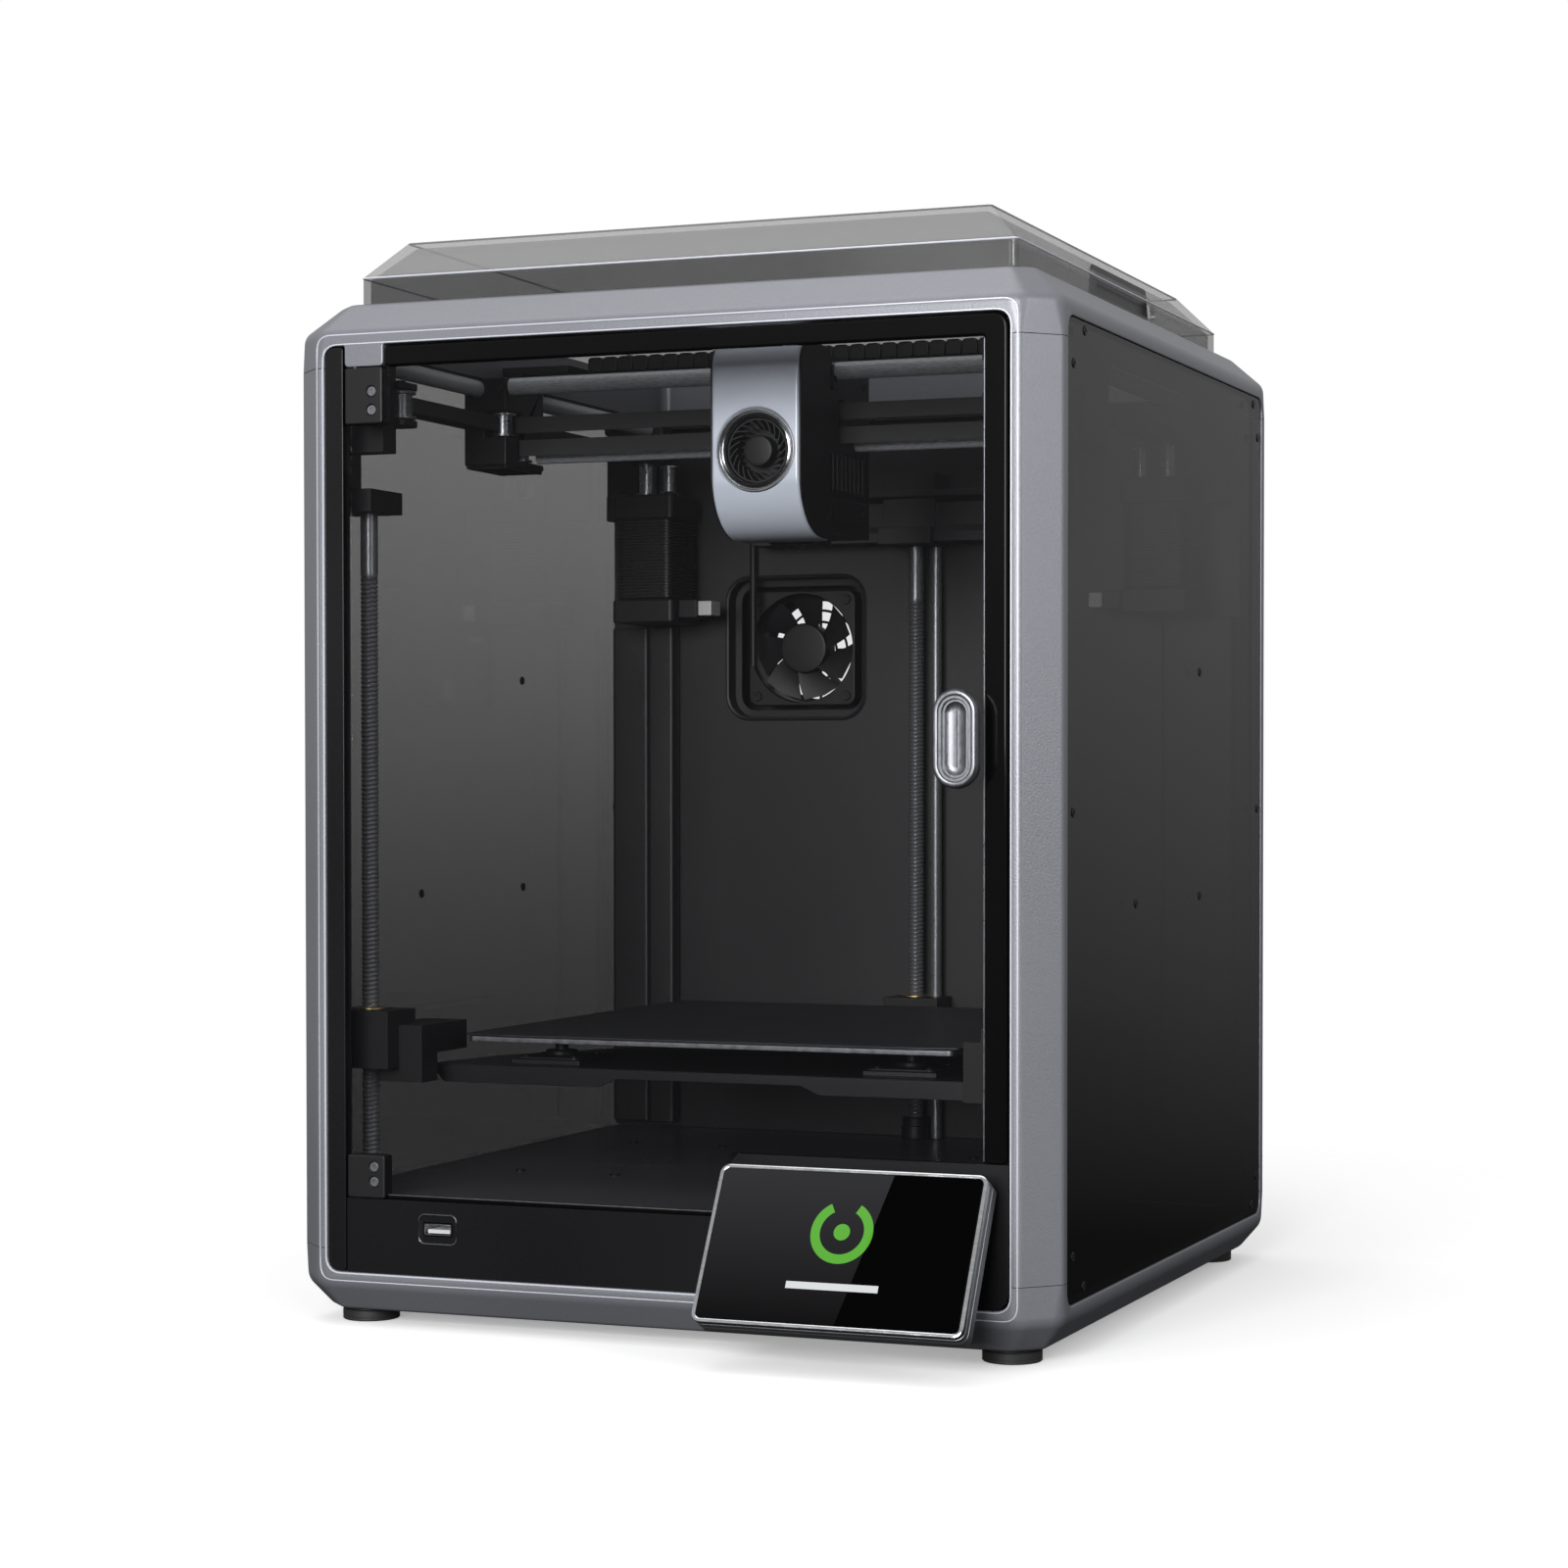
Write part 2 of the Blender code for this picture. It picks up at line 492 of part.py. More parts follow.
def xy_motors():
    """Motors in the rear corners, each between two plates, with its pulley and the Y rod's holder."""
    x0, x1, y0, y1 = MOTOR
    z = MOTOR_BANDS
    for side, word in ((-1, "left"), (1, "right")):
        def block(label, a, b, c, d, low, high, **kind):
            left, right = sorted((side * a, side * b))
            return box(label, (left, c, low), (right, d, high), **kind)
        motor = block(f"xy_motor_{word}", x0, x1, y0, y1, z[0], z[1], material=BLACK)
        unite(motor, block(f"add_motor_body_{word}", x0 + 2, x1 - 1.5, y0 + 2, y1 - 2, z[1] - 1, z[2] + 1,
                           cutter=True),
              block(f"add_motor_plate_{word}", x0, x1, y0, y1, z[2], z[3], cutter=True),
              rod(f"add_motor_pulley_{word}", (side * 141, 118, 398), 5.3, 24, "Z", cutter=True),
              block(f"add_rod_holder_{word}", 136, 170.0, 127, y1, z[2] + 1, 429.4, cutter=True))
        cut(motor, rod(f"cut_rod_holder_{word}", (side * Y_ROD_X, 132, Y_ROD_Z), 4.3, 30, "Y", cutter=True))


def head_profile(inset):
    """Side outline of the head's cover: flat front, tight top bend and a wide bend to the bottom."""
    front, low, high = HEAD_FRONT + inset, HEAD_LOW + inset, HEAD_HIGH - inset
    tight, wide = 12 - inset, 27 - inset
    return [(HEAD_SPLIT - GAP + (4 if inset else 0), low), (HEAD_SPLIT - GAP + (4 if inset else 0), high),
            *arc((front + tight, high - tight), tight, 90, 180, 4),
            *arc((front + wide, low + wide), wide, 180, 270, 7)]


def print_head():
    """Print head: carriage body on the X rods, metal front cover, cooling fan and hot end."""
    low, high = HEAD_X - HEAD_HALF, HEAD_X + HEAD_HALF
    body = box("head_body", (low + 1, HEAD_SPLIT, 352), (high - 1, HEAD_BACK, 432), BLACK)
    cut(body,
        rod("cut_head_upper", (HEAD_X, UPPER_ROD[0], UPPER_ROD[1]), UPPER_ROD[2] + 0.35, 80, "X",
            sides=20, cutter=True),
        rod("cut_head_lower", (HEAD_X, LOWER_ROD[0], LOWER_ROD[1]), LOWER_ROD[2] + 0.35, 80, "X",
            sides=20, cutter=True),
        box("cut_head_belts", (low - 5, -50, 391.6), (high + 5, -42.5, 413.6), cutter=True))
    cover = flat_solid("head_cover", [head_profile(0)], low, high, "X", GREY)
    cut(cover, flat_solid("cut_cover_inside", [head_profile(2)], low + 2, high - 2, "X", cutter=True),
        rod("cut_cover_fan", (HEAD_X, HEAD_FRONT, FAN_Z), FAN_HOLE, 12, "Y", sides=32, cutter=True))
    rotor = rod("head_fan_rotor", (HEAD_X, HEAD_FRONT + 6.5, FAN_Z), 8.4, 10, "Y", BLACK, sides=24)
    unite(rotor, rod("add_head_fan_disc", (HEAD_X, HEAD_FRONT + 11, FAN_Z), 14.6, 2, "Y", sides=24,
                     cutter=True))
    block = rod("hot_end", (HEAD_X, NOZZLE_Y, 350.5), 6.5, 2.2, "Z", STEEL, sides=20)
    unite(block, rod("add_nozzle", (HEAD_X, NOZZLE_Y, (NOZZLE_TIP + 350) / 2), 0.6, 350 - NOZZLE_TIP, "Z",
                     sides=20, cutter=True, tip=4.6))


def door():
    """Glass door with a cut corner over the display, two hinge blocks and a pull handle."""
    left, right, low, high = DOOR_LEFT, DOOR_RIGHT, DOOR_LOW, DOOR_HIGH
    inner = left + HINGE_WIDTH + GAP
    upper_low = TAB_LOW_Z - HINGE_HEIGHT - GAP
    lower_high = low + HINGE_HEIGHT - 6 + GAP
    edge = [(inner, low), (NOTCH_LEFT, low), (NOTCH_LEFT, NOTCH_TOP - 3), (NOTCH_LEFT + 3, NOTCH_TOP),
            (right, NOTCH_TOP), *arc((right - 6.5, high - 6.5), 6.5, 0, 90, 3), (inner, high),
            (inner, upper_low), (left, upper_low), (left, lower_high), (inner, lower_high)]
    flat_solid("door_glass", [edge], DOOR_FRONT, DOOR_BACK, "Y", GLASS)
    for word, z0, z1 in (("lower", low, lower_high - GAP), ("upper", upper_low + GAP, TAB_LOW_Z - GAP)):
        outline = rounded(left, left + HINGE_WIDTH, DOOR_FRONT - 1.2, DOOR_BACK + 2, 1, 1)
        block = flat_solid(f"hinge_block_{word}", [outline], z0, z1, "Z", BLACK)
        end = z1 if word == "upper" else z0
        unite(block, rod(f"add_hinge_pin_{word}", (*HINGE_AXIS, end), PIN_RADIUS, 5, "Z", cutter=True))
    x, z = HANDLE_AT
    pull = flat_solid("door_handle", [stadium(x, z, 19.6, 40.4)], -190.5, -184.5, "Y", SILVER)
    unite(pull, flat_solid("add_handle_stem", [stadium(x, z, 12, 30)], -185, DOOR_FRONT - GAP, "Y",
                           cutter=True))


def lid():
    """Lift-off smoked lid: upright walls, sloped shoulders and a flat top, open below."""
    def section(inset_x, inset_y, z):
        x, front, back = 153.6 - inset_x, -153.0 + inset_y, 156.0 - inset_y
        cut_corner = 2.0
        return [(-x + cut_corner, front, z), (x - cut_corner, front, z), (x, front + cut_corner, z),
                (x, back - cut_corner, z), (x - cut_corner, back, z), (-x + cut_corner, back, z),
                (-x, back - cut_corner, z), (-x, front + cut_corner, z)]
    low, shoulder, top, thick = FRAME_TOP + GAP, 463.4, 480.0, 2.5
    dome = loft("lid", [section(0, 0, low), section(0, 0, shoulder), section(15.85, 13.5, top)], SMOKED)
    inside = loft("cut_lid_inside", [section(thick, thick, low - 5), section(thick, thick, shoulder - 0.8),
                                     section(15.85 + thick, 13.5 + thick, top - thick)], cutter=True)
    notch = box("cut_lid_notch", (150.5, 20, low - 1), (160, 62, low + 6), cutter=True)
    cut(dome, inside, notch)


def chamber_fan():
    """Exhaust fan behind the chamber: a square frame with a round duct, and its rotor."""
    x, z = CHAMBER_FAN
    half = FAN_SIZE / 2
    flat_solid("chamber_fan_frame", [rounded(x - half, x + half, z - half, z + half, 6),
                                     arc((x, z), 28.0, 0, 345, 23)], 148, 163, "Y", BLACK)
    rotor = rod("chamber_fan_rotor", (x, 155.5, z), 13.5, 12, "Y", BLACK, sides=24)
    for k in range(7):
        blade = box(f"add_blade_{k}", (x - 5.5, 151.5, z + 10), (x + 5.5, 153.5, z + 27), cutter=True)
        turn = Matrix.Translation(place(x, 0, z)) @ Matrix.Rotation(2 * math.pi * k / 7, 4, "Y")
        blade.data.transform(turn @ Matrix.Translation(-place(x, 0, z)))
        unite(rotor, blade)


def power_entry():
    """Mains inlet on its entry plate, and the rocker switch above it, low in the rear panel."""
    x, z = INLET_AT
    left, right, top = ENTRY_PLATE
    inlet = box("power_inlet", (left, 173.8, WINDOW_LOW + GAP), (right, 175.8, top), BLACK)
    unite(inlet, box("add_inlet", (x - 14, 156, z - 10), (x + 14, 176.4, z + 10), cutter=True))
    cut(inlet, box("cut_inlet", (x - 11.5, 160, z - 7.5), (x + 11.5, 190, z + 7.5), cutter=True))
    x, z = SWITCH_AT
    cut(inlet, box("cut_entry_rocker", (x - 10.3, 170, z - 7.3), (x + 10.3, 180, z + 7.3), cutter=True))
    lean = math.radians(-SWITCH_LEAN)
    rocker = [(-4.0, -5.5), (4.6, -6.2), (3.4, 0.0), (4.6, 6.2), (-4.0, 5.5)]
    profile = [(SWITCH_PIVOT_Y + a * math.cos(lean) - b * math.sin(lean),
                z + a * math.sin(lean) + b * math.cos(lean)) for a, b in rocker]
    flat_solid("power_switch", [profile], x - 9.8, x + 9.8, "X", BLACK)


def build():
    """Makes every part."""
    top_frame()
    base_tray()
    posts()
    cabinet_panels()
    front_trims()
    display()
    feet()
    z_drive()
    corner_brackets()
    rear_rail()
    bed()
    gantry()
    xy_motors()
    print_head()
    door()
    lid()
    chamber_fan()
    power_entry()


build()
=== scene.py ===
"""Finished pieces and finishes of an enclosed desktop fused-filament printer.

The file is laid out as an add-on and run as a script. Places are in millimetres from the middle of
the cabinet's footprint, X to the right, Y to the back and Z up; seat() moves them into the frame.
"""

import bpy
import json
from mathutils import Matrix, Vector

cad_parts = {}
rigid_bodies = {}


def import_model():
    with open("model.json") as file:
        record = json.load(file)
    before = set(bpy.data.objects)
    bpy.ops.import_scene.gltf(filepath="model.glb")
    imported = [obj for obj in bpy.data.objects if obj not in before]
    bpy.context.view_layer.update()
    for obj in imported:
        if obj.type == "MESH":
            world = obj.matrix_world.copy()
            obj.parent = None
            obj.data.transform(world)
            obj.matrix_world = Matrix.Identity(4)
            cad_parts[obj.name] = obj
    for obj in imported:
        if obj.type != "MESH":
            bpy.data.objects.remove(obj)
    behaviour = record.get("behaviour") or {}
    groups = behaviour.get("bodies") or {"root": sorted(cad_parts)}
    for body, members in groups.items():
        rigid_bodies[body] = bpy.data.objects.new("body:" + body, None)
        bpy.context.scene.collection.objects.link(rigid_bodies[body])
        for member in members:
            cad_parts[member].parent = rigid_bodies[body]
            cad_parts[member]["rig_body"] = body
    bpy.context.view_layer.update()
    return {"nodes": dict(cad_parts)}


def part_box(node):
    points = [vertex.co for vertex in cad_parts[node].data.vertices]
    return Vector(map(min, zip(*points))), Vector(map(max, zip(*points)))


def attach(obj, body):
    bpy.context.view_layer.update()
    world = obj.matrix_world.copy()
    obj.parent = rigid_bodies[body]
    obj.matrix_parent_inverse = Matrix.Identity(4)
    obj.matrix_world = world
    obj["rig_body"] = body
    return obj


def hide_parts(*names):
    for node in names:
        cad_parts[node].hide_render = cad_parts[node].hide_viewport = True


bl_info = {
    "name": "Enclosed Printer Looks",
    "version": (1, 0, 0),
    "blender": (4, 5, 0),
    "location": "3D View > Sidebar > Printer",
    "description": "Builds the finished pieces and finishes of an enclosed fused-filament printer",
    "category": "Object",
}

import json
import math

import bmesh
import bpy
import numpy as np
from bpy.props import FloatProperty, FloatVectorProperty, PointerProperty
from bpy.types import Operator, Panel, PropertyGroup
from mathutils import Vector

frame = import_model()

MM = 0.001
SHIFT = (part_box("base_tray")[0].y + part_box("base_tray")[1].y) / 2 / MM     # the cabinet's middle along Y
CROWN_ANGLE = math.radians(32)      # edges sharper than this stay crisp


def span(node):
    """A CAD node's limits x0, x1, y0, y1, z0, z1 in millimetres from the cabinet's middle."""
    low, high = (np.array(corner) / MM - (0, SHIFT, 0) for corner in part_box(node))
    return tuple(float(v) for pair in zip(low, high) for v in pair)


def seat(points):
    """Millimetres from the cabinet's middle turned into metres in the frame."""
    return (np.asarray(points, float) + (0, SHIFT, 0)) * MM


# ---------------------------------------------------------------- surfaces

def bend(corners, reach, steps=4, closed=True):
    """Rounds a polyline's corners.

    Each corner C becomes the curve (1-s)^2 A + 2s(1-s) C + s^2 B, where A and B lie at the reach from
    C on its two sides. An open polyline keeps its two ends as they are.
    """
    corners = np.asarray(corners, float)
    before, after = np.roll(corners, 1, 0) - corners, np.roll(corners, -1, 0) - corners
    reach = np.broadcast_to(np.asarray(reach, float), len(corners))[:, None]
    lengths = [np.linalg.norm(side, axis=1, keepdims=True) for side in (before, after)]
    a = corners + before * np.minimum(reach / lengths[0], 0.499)
    b = corners + after * np.minimum(reach / lengths[1], 0.499)
    s = np.linspace(0, 1, steps + 1)[None, :, None]
    curve = (1 - s) ** 2 * a[:, None] + 2 * s * (1 - s) * corners[:, None] + s ** 2 * b[:, None]
    if closed:
        return curve.reshape(-1, corners.shape[1])
    return np.vstack([corners[:1], curve[1:-1].reshape(-1, corners.shape[1]), corners[-1:]])


def plate_outline(x0, x1, y0, y1, radius, steps=5):
    """A rectangle whose corners are quarter circles, run anticlockwise."""
    turns = np.linspace(0, math.pi / 2, steps + 1)
    centres = [(x1 - radius, y0 + radius, -1), (x1 - radius, y1 - radius, 0),
               (x0 + radius, y1 - radius, 1), (x0 + radius, y0 + radius, 2)]
    return np.vstack([np.stack([x + radius * np.cos(turns + k * math.pi / 2),
                                y + radius * np.sin(turns + k * math.pi / 2)], 1) for x, y, k in centres])


def slot_outline(x, y, width, height, steps=14):
    """An upright outline with half-round ends."""
    return plate_outline(x - width / 2, x + width / 2, y - height / 2, y + height / 2, width / 2 - 1e-3, steps)


def circle(x, y, radius, sides=32):
    """Points evenly spread on a circle."""
    turns = np.arange(sides) * 2 * math.pi / sides
    return np.stack([x + radius * np.cos(turns), y + radius * np.sin(turns)], 1)


def drawn_in(outline, inset):
    """Moves every side of an outline inwards by the inset, along the mitre of its two neighbours."""
    side = np.roll(outline, -1, 0) - outline
    side = side / np.maximum(np.linalg.norm(side, axis=1, keepdims=True), 1e-9)
    normal = np.stack([-side[:, 1], side[:, 0]], 1)
    last = np.roll(normal, 1, 0)
    area = np.sum(outline[:, 0] * np.roll(outline[:, 1], -1) - outline[:, 1] * np.roll(outline[:, 0], -1))
    mitre = (normal + last) / np.maximum(1 + np.sum(normal * last, 1, keepdims=True), 0.2)
    return outline + mitre * inset * math.copysign(1, area)


TURN = {"X": (2, 0, 1), "Y": (0, 2, 1), "Z": (0, 1, 2)}     # which of (u, v, along) is x, y and z


def lift(outline, along, axis):
    """Puts a flat outline at a place along an axis: u, v are y, z on X; x, z on Y; x, y on Z."""
    points = np.column_stack([outline, np.full(len(outline), float(along))])
    return points[:, TURN[axis]]


def grid_quads(rows, columns, wrap_rows=False):
    """Quads of a grid of points whose columns close on themselves."""
    r = np.arange(rows if wrap_rows else rows - 1)[:, None]
    c = np.arange(columns)[None, :]
    n, up = (c + 1) % columns, (r + 1) % rows
    return np.stack([r * columns + c, r * columns + n, up * columns + n, up * columns + c], -1).reshape(-1, 4)


def skin(rings, wrap=False):
    """Closes rings of equally many points: quads between neighbours, and a flat cap on each end."""
    rings = np.asarray(rings, float)
    rows, columns = rings.shape[:2]
    faces = grid_quads(rows, columns, wrap).tolist()
    if not wrap:
        faces += [list(range(columns))[::-1], list(range((rows - 1) * columns, rows * columns))]
    return rings.reshape(-1, 3), faces


def stack(outline, stations, axis="Z"):
    """Carries an outline along an axis. Each station gives the place and how far the outline is drawn in."""
    outline = np.asarray(outline, float)
    return skin([lift(drawn_in(outline, inset), along, axis) for along, inset in stations])


def slab(outline, low, high, axis="Z", edge=0.6, steps=3):
    """An outline given thickness, with both rims rounded: inset e(1 - sin t) at depth e(1 - cos t)."""
    edge = min(edge, (high - low) / 2 * 0.98)
    t = np.linspace(0, math.pi / 2, steps + 1)
    depth, inset = edge * (1 - np.cos(t)), edge * (1 - np.sin(t))
    return stack(outline, [*zip(low + depth, inset), *zip(high - depth[::-1], inset[::-1])], axis)


def block(x0, x1, y0, y1, z0, z1, corner=1.0, edge=0.6, axis="Z", steps=3):
    """A block with rounded corners along its axis and rounded rims."""
    sides = {"Z": (x0, x1, y0, y1, z0, z1), "Y": (x0, x1, z0, z1, y0, y1), "X": (y0, y1, z0, z1, x0, x1)}[axis]
    corner = min(corner, (sides[1] - sides[0]) / 2.02, (sides[3] - sides[2]) / 2.02)
    return slab(plate_outline(*sides[:4], corner, steps), *sides[4:], axis, min(edge, corner * 0.98), steps)


def turned(profile, centre, axis="Z", sides=32):
    """A turned solid: the profile's (radius, distance) pairs swept round an axis through the centre."""
    ring = circle(0, 0, 1, sides)
    u, v = {"X": (1, 2), "Y": (0, 2), "Z": (0, 1)}[axis]
    along = {"X": 0, "Y": 1, "Z": 2}[axis]
    flat = [lift(ring * max(r, 1e-3) + (centre[u], centre[v]), centre[along] + t, axis) for r, t in profile]
    return skin(flat)


def tube(path, radius, sides=12, wrap=False):
    """A round tube: circles square to the path, whose frame is carried along without twist."""
    path = np.asarray(path, float)
    way = np.gradient(path, axis=0) if not wrap else np.roll(path, -1, 0) - np.roll(path, 1, 0)
    way /= np.linalg.norm(way, axis=1, keepdims=True)
    up = np.array((0.0, 0.0, 1.0)) if abs(way[0, 2]) < 0.9 else np.array((0.0, 1.0, 0.0))
    across = np.cross(way, up)
    across /= np.linalg.norm(across, axis=1, keepdims=True)
    over = np.cross(across, way)
    turn = np.arange(sides) * 2 * math.pi / sides
    radius = np.broadcast_to(np.asarray(radius, float), len(path))[:, None, None]
    rings = path[:, None] + radius * (across[:, None] * np.cos(turn)[None, :, None]
                                      + over[:, None] * np.sin(turn)[None, :, None])
    return skin(rings, wrap)


def ribbon(path, half_width, thickness, side=(0, 0, 1)):
    """A flat strip along a path: a four-cornered section, its width along the given side."""
    path, side = np.asarray(path, float), np.asarray(side, float)
    way = np.gradient(path, axis=0)
    normal = np.cross(way, side)
    normal /= np.linalg.norm(normal, axis=1, keepdims=True)
    corners = [(-1, -1), (1, -1), (1, 1), (-1, 1)]
    return skin(np.stack([path + side * half_width * a + normal * thickness / 2 * b for a, b in corners], 1))


def cap_screw(centre, axis, toward, radius=2.0, height=1.0):
    """A screw head with a rounded rim and a hexagon socket, whose flats come from a six-fold cosine."""
    sides = 24
    turn = np.arange(sides) * 2 * math.pi / sides
    hexagon = 0.5 * radius * math.cos(math.pi / 6) / np.cos((turn + math.pi / 6) % (math.pi / 3) - math.pi / 6)
    round_ring = np.ones(sides)
    rows = [(radius * round_ring, 0), (radius * round_ring, height * 0.6), (radius * 0.86 * round_ring, height),
            (radius * 0.62 * round_ring, height), (hexagon, height * 0.96), (hexagon * 0.96, height * 0.25)]
    u, v = {"X": (1, 2), "Y": (0, 2), "Z": (0, 1)}[axis]
    along = {"X": 0, "Y": 1, "Z": 2}[axis]
    rings = [lift(np.stack([centre[u] + r * np.cos(turn), centre[v] + r * np.sin(turn)], 1),
                  centre[along] + toward * t, axis) for r, t in rows]
    return skin(rings)


def gather(surfaces):
    """Puts several surfaces into one list of points and one of faces."""
    points, faces, start = [], [], 0
    for these, quads in surfaces:
        points.append(these)
        faces += [[k + start for k in face] for face in quads]
        start += len(these)
    return np.vstack(points), faces


# ---------------------------------------------------------------- pieces

def raw_mesh(name, surfaces):
    """A mesh of the surfaces, in metres, with closed poles and faces that point outwards."""
    points, faces = gather(surfaces)
    mesh = bpy.data.meshes.new(name)
    mesh.from_pydata(seat(points).tolist(), [], faces)
    shape = bmesh.new()
    shape.from_mesh(mesh)
    bmesh.ops.remove_doubles(shape, verts=shape.verts[:], dist=2e-6)
    bmesh.ops.recalc_face_normals(shape, faces=shape.faces[:])
    shape.to_mesh(mesh)
    shape.free()
    return mesh


def crisp(mesh, angle=CROWN_ANGLE):
    """Shades a mesh smooth, except over its sharper edges."""
    mesh.shade_smooth()
    mesh.set_sharp_from_angle(angle=angle)


def weigh_normals(item):
    """Lets the large faces rule the shading, so that flat faces stay flat beside rounded edges."""
    modifier = item.modifiers.new("face_weights", "WEIGHTED_NORMAL")
    modifier.keep_sharp = True
    modifier.weight = 60


def settle(name, mesh, material, body, replaces=()):
    """Makes a mesh a finished piece: its finish, the body it rides on and the nodes it stands for."""
    item = bpy.data.objects.new(name, mesh)
    bpy.context.scene.collection.objects.link(item)
    mesh.materials.clear()
    mesh.materials.append(finish_of(material))
    crisp(mesh)
    weigh_normals(item)
    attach(item, body)
    if replaces:
        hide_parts(*replaces)
    return item


def piece(name, surfaces, material, body, replaces=()):
    """A finished piece made of surfaces."""
    return settle(name, raw_mesh(name, surfaces), material, body, replaces)


def solid(name, surfaces):
    """A helper solid for cutting, which is removed again."""
    item = bpy.data.objects.new(name, raw_mesh(name, surfaces))
    bpy.context.scene.collection.objects.link(item)
    return item


def carved(name, surfaces, cutters):
    """The mesh left when each cutter's surfaces are cut away from the surfaces."""
    item = solid(name, surfaces)
    helpers = [solid(f"{name}_cut_{k}", [cutter]) for k, cutter in enumerate(cutters)]
    for helper in helpers:
        modifier = item.modifiers.new(helper.name, "BOOLEAN")
        modifier.operation, modifier.object, modifier.solver = "DIFFERENCE", helper, "EXACT"
    shown = item.evaluated_get(bpy.context.evaluated_depsgraph_get())
    mesh = bpy.data.meshes.new_from_object(shown)
    for helper in (item, *helpers):
        spare = helper.data
        bpy.data.objects.remove(helper)
        bpy.data.meshes.remove(spare)
    mesh.name = name
    return mesh


def softened(node, material, width=0.6, segments=3, name=None):
    """A copy of a CAD node with its flat faces merged and its edges rounded, which stands for it."""
    source = frame["nodes"][node]
    mesh = source.data.copy()
    shape = bmesh.new()
    shape.from_mesh(mesh)
    bmesh.ops.remove_doubles(shape, verts=shape.verts[:], dist=1e-6)
    bmesh.ops.dissolve_limit(shape, angle_limit=math.radians(1), verts=shape.verts[:], edges=shape.edges[:])
    sharp = [e for e in shape.edges if len(e.link_faces) == 2 and e.calc_face_angle(0) > math.radians(28)]
    bmesh.ops.bevel(shape, geom=sharp, offset=width * MM, segments=segments, affect="EDGES",
                    clamp_overlap=True, profile=0.5)
    bmesh.ops.recalc_face_normals(shape, faces=shape.faces[:])
    shape.to_mesh(mesh)
    shape.free()
    return settle(name or f"{node}_finished", mesh, material, source["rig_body"], [node])


# ---------------------------------------------------------------- finishes

FINISHES = {}


def finish_of(name):
    """The finish by name, made when it is first asked for."""
    if name not in FINISHES:
        FINISHES[name] = MAKERS[name](name)
    return FINISHES[name]


class Nodes:
    """Small helper that adds and links shader nodes in one material."""

    def __init__(self, name, **settings):
        """Makes the material and sets the shader's own values."""
        self.material = bpy.data.materials.new(name)
        self.material.use_nodes = True
        self.tree = self.material.node_tree
        self.shader = self.tree.nodes["Principled BSDF"]
        for socket, value in settings.items():
            self.shader.inputs[socket.replace("_", " ")].default_value = value

    @classmethod
    def of(cls, material):
        """The helper over a material that is already made."""
        made = cls.__new__(cls)
        made.material, made.tree = material, material.node_tree
        made.shader = made.tree.nodes["Principled BSDF"]
        return made

    def add(self, kind, inputs=(), **settings):
        """Adds a node, sets its fields and sockets, and links any socket given as an output."""
        node = self.tree.nodes.new(kind)
        for field, value in settings.items():
            setattr(node, field, value)
        for socket, value in dict(inputs).items():
            target = node.inputs[socket]
            if isinstance(value, bpy.types.NodeSocket):
                self.tree.links.new(value, target)
            else:
                target.default_value = value
        return node

    def place(self, scale=(1, 1, 1)):
        """The point on the object, scaled."""
        here = self.add("ShaderNodeTexCoord")
        return self.add("ShaderNodeMapping", {"Vector": here.outputs["Object"], "Scale": scale}).outputs[0]

    def noise(self, scale, detail=3.0, stretch=(1, 1, 1), rough=0.55):
        """Cloudy noise over the object."""
        node = self.add("ShaderNodeTexNoise", {"Vector": self.place(stretch), "Scale": scale, "Detail": detail,
                                               "Roughness": rough})
        return node.outputs["Fac"]

    def ramp(self, value, stops):
        """A colour ramp over (place, grey or colour) stops."""
        node = self.add("ShaderNodeValToRGB", {"Fac": value})
        bar = node.color_ramp
        while len(bar.elements) < len(stops):
            bar.elements.new(0.5)
        for element, (at, colour) in zip(bar.elements, stops):
            element.position = at
            element.color = (*colour, 1) if isinstance(colour, tuple) else (colour, colour, colour, 1)
        return node.outputs["Color"]

    def math(self, operation, a, b=0.0, c=0.0):
        """One step of arithmetic."""
        return self.add("ShaderNodeMath", {0: a, 1: b, 2: c}, operation=operation).outputs[0]

    def bump(self, height, strength, distance):
        """Turns a height into small relief."""
        node = self.add("ShaderNodeBump", {"Height": height, "Strength": strength, "Distance": distance})
        self.feed("Normal", node.outputs[0])

    def feed(self, socket, value):
        """Links a value into the shader."""
        self.tree.links.new(value, self.shader.inputs[socket])


def shades(colour, low, high):
    """Two shades of a colour for a ramp."""
    return [(0.3, tuple(c * low for c in colour)), (0.7, tuple(c * high for c in colour))]


def grained(name, colour, roughness, metallic=0.0, grain=900.0, relief=0.12, spread=0.12, coat=0.0,
            specular=0.5, drift=6.0):
    """Paint or moulded plastic: fine grain in relief, and slow drifts in colour and in gloss."""
    made = Nodes(name, Metallic=metallic, Coat_Weight=coat, Coat_Roughness=0.08, Specular_IOR_Level=specular)
    cloud = made.noise(drift, 2.0)
    fine = made.noise(grain, 2.0)
    mixed = made.add("ShaderNodeMix", {"Factor": 0.5, "A": cloud, "B": fine}, data_type="FLOAT")
    made.feed("Base Color", made.ramp(mixed.outputs[0], shades(colour, 1 - spread, 1 + spread)))
    made.feed("Roughness", made.ramp(cloud, [(0.3, roughness * 0.88), (0.7, roughness * 1.12)]))
    made.bump(fine, relief, 0.0002)
    return made.material


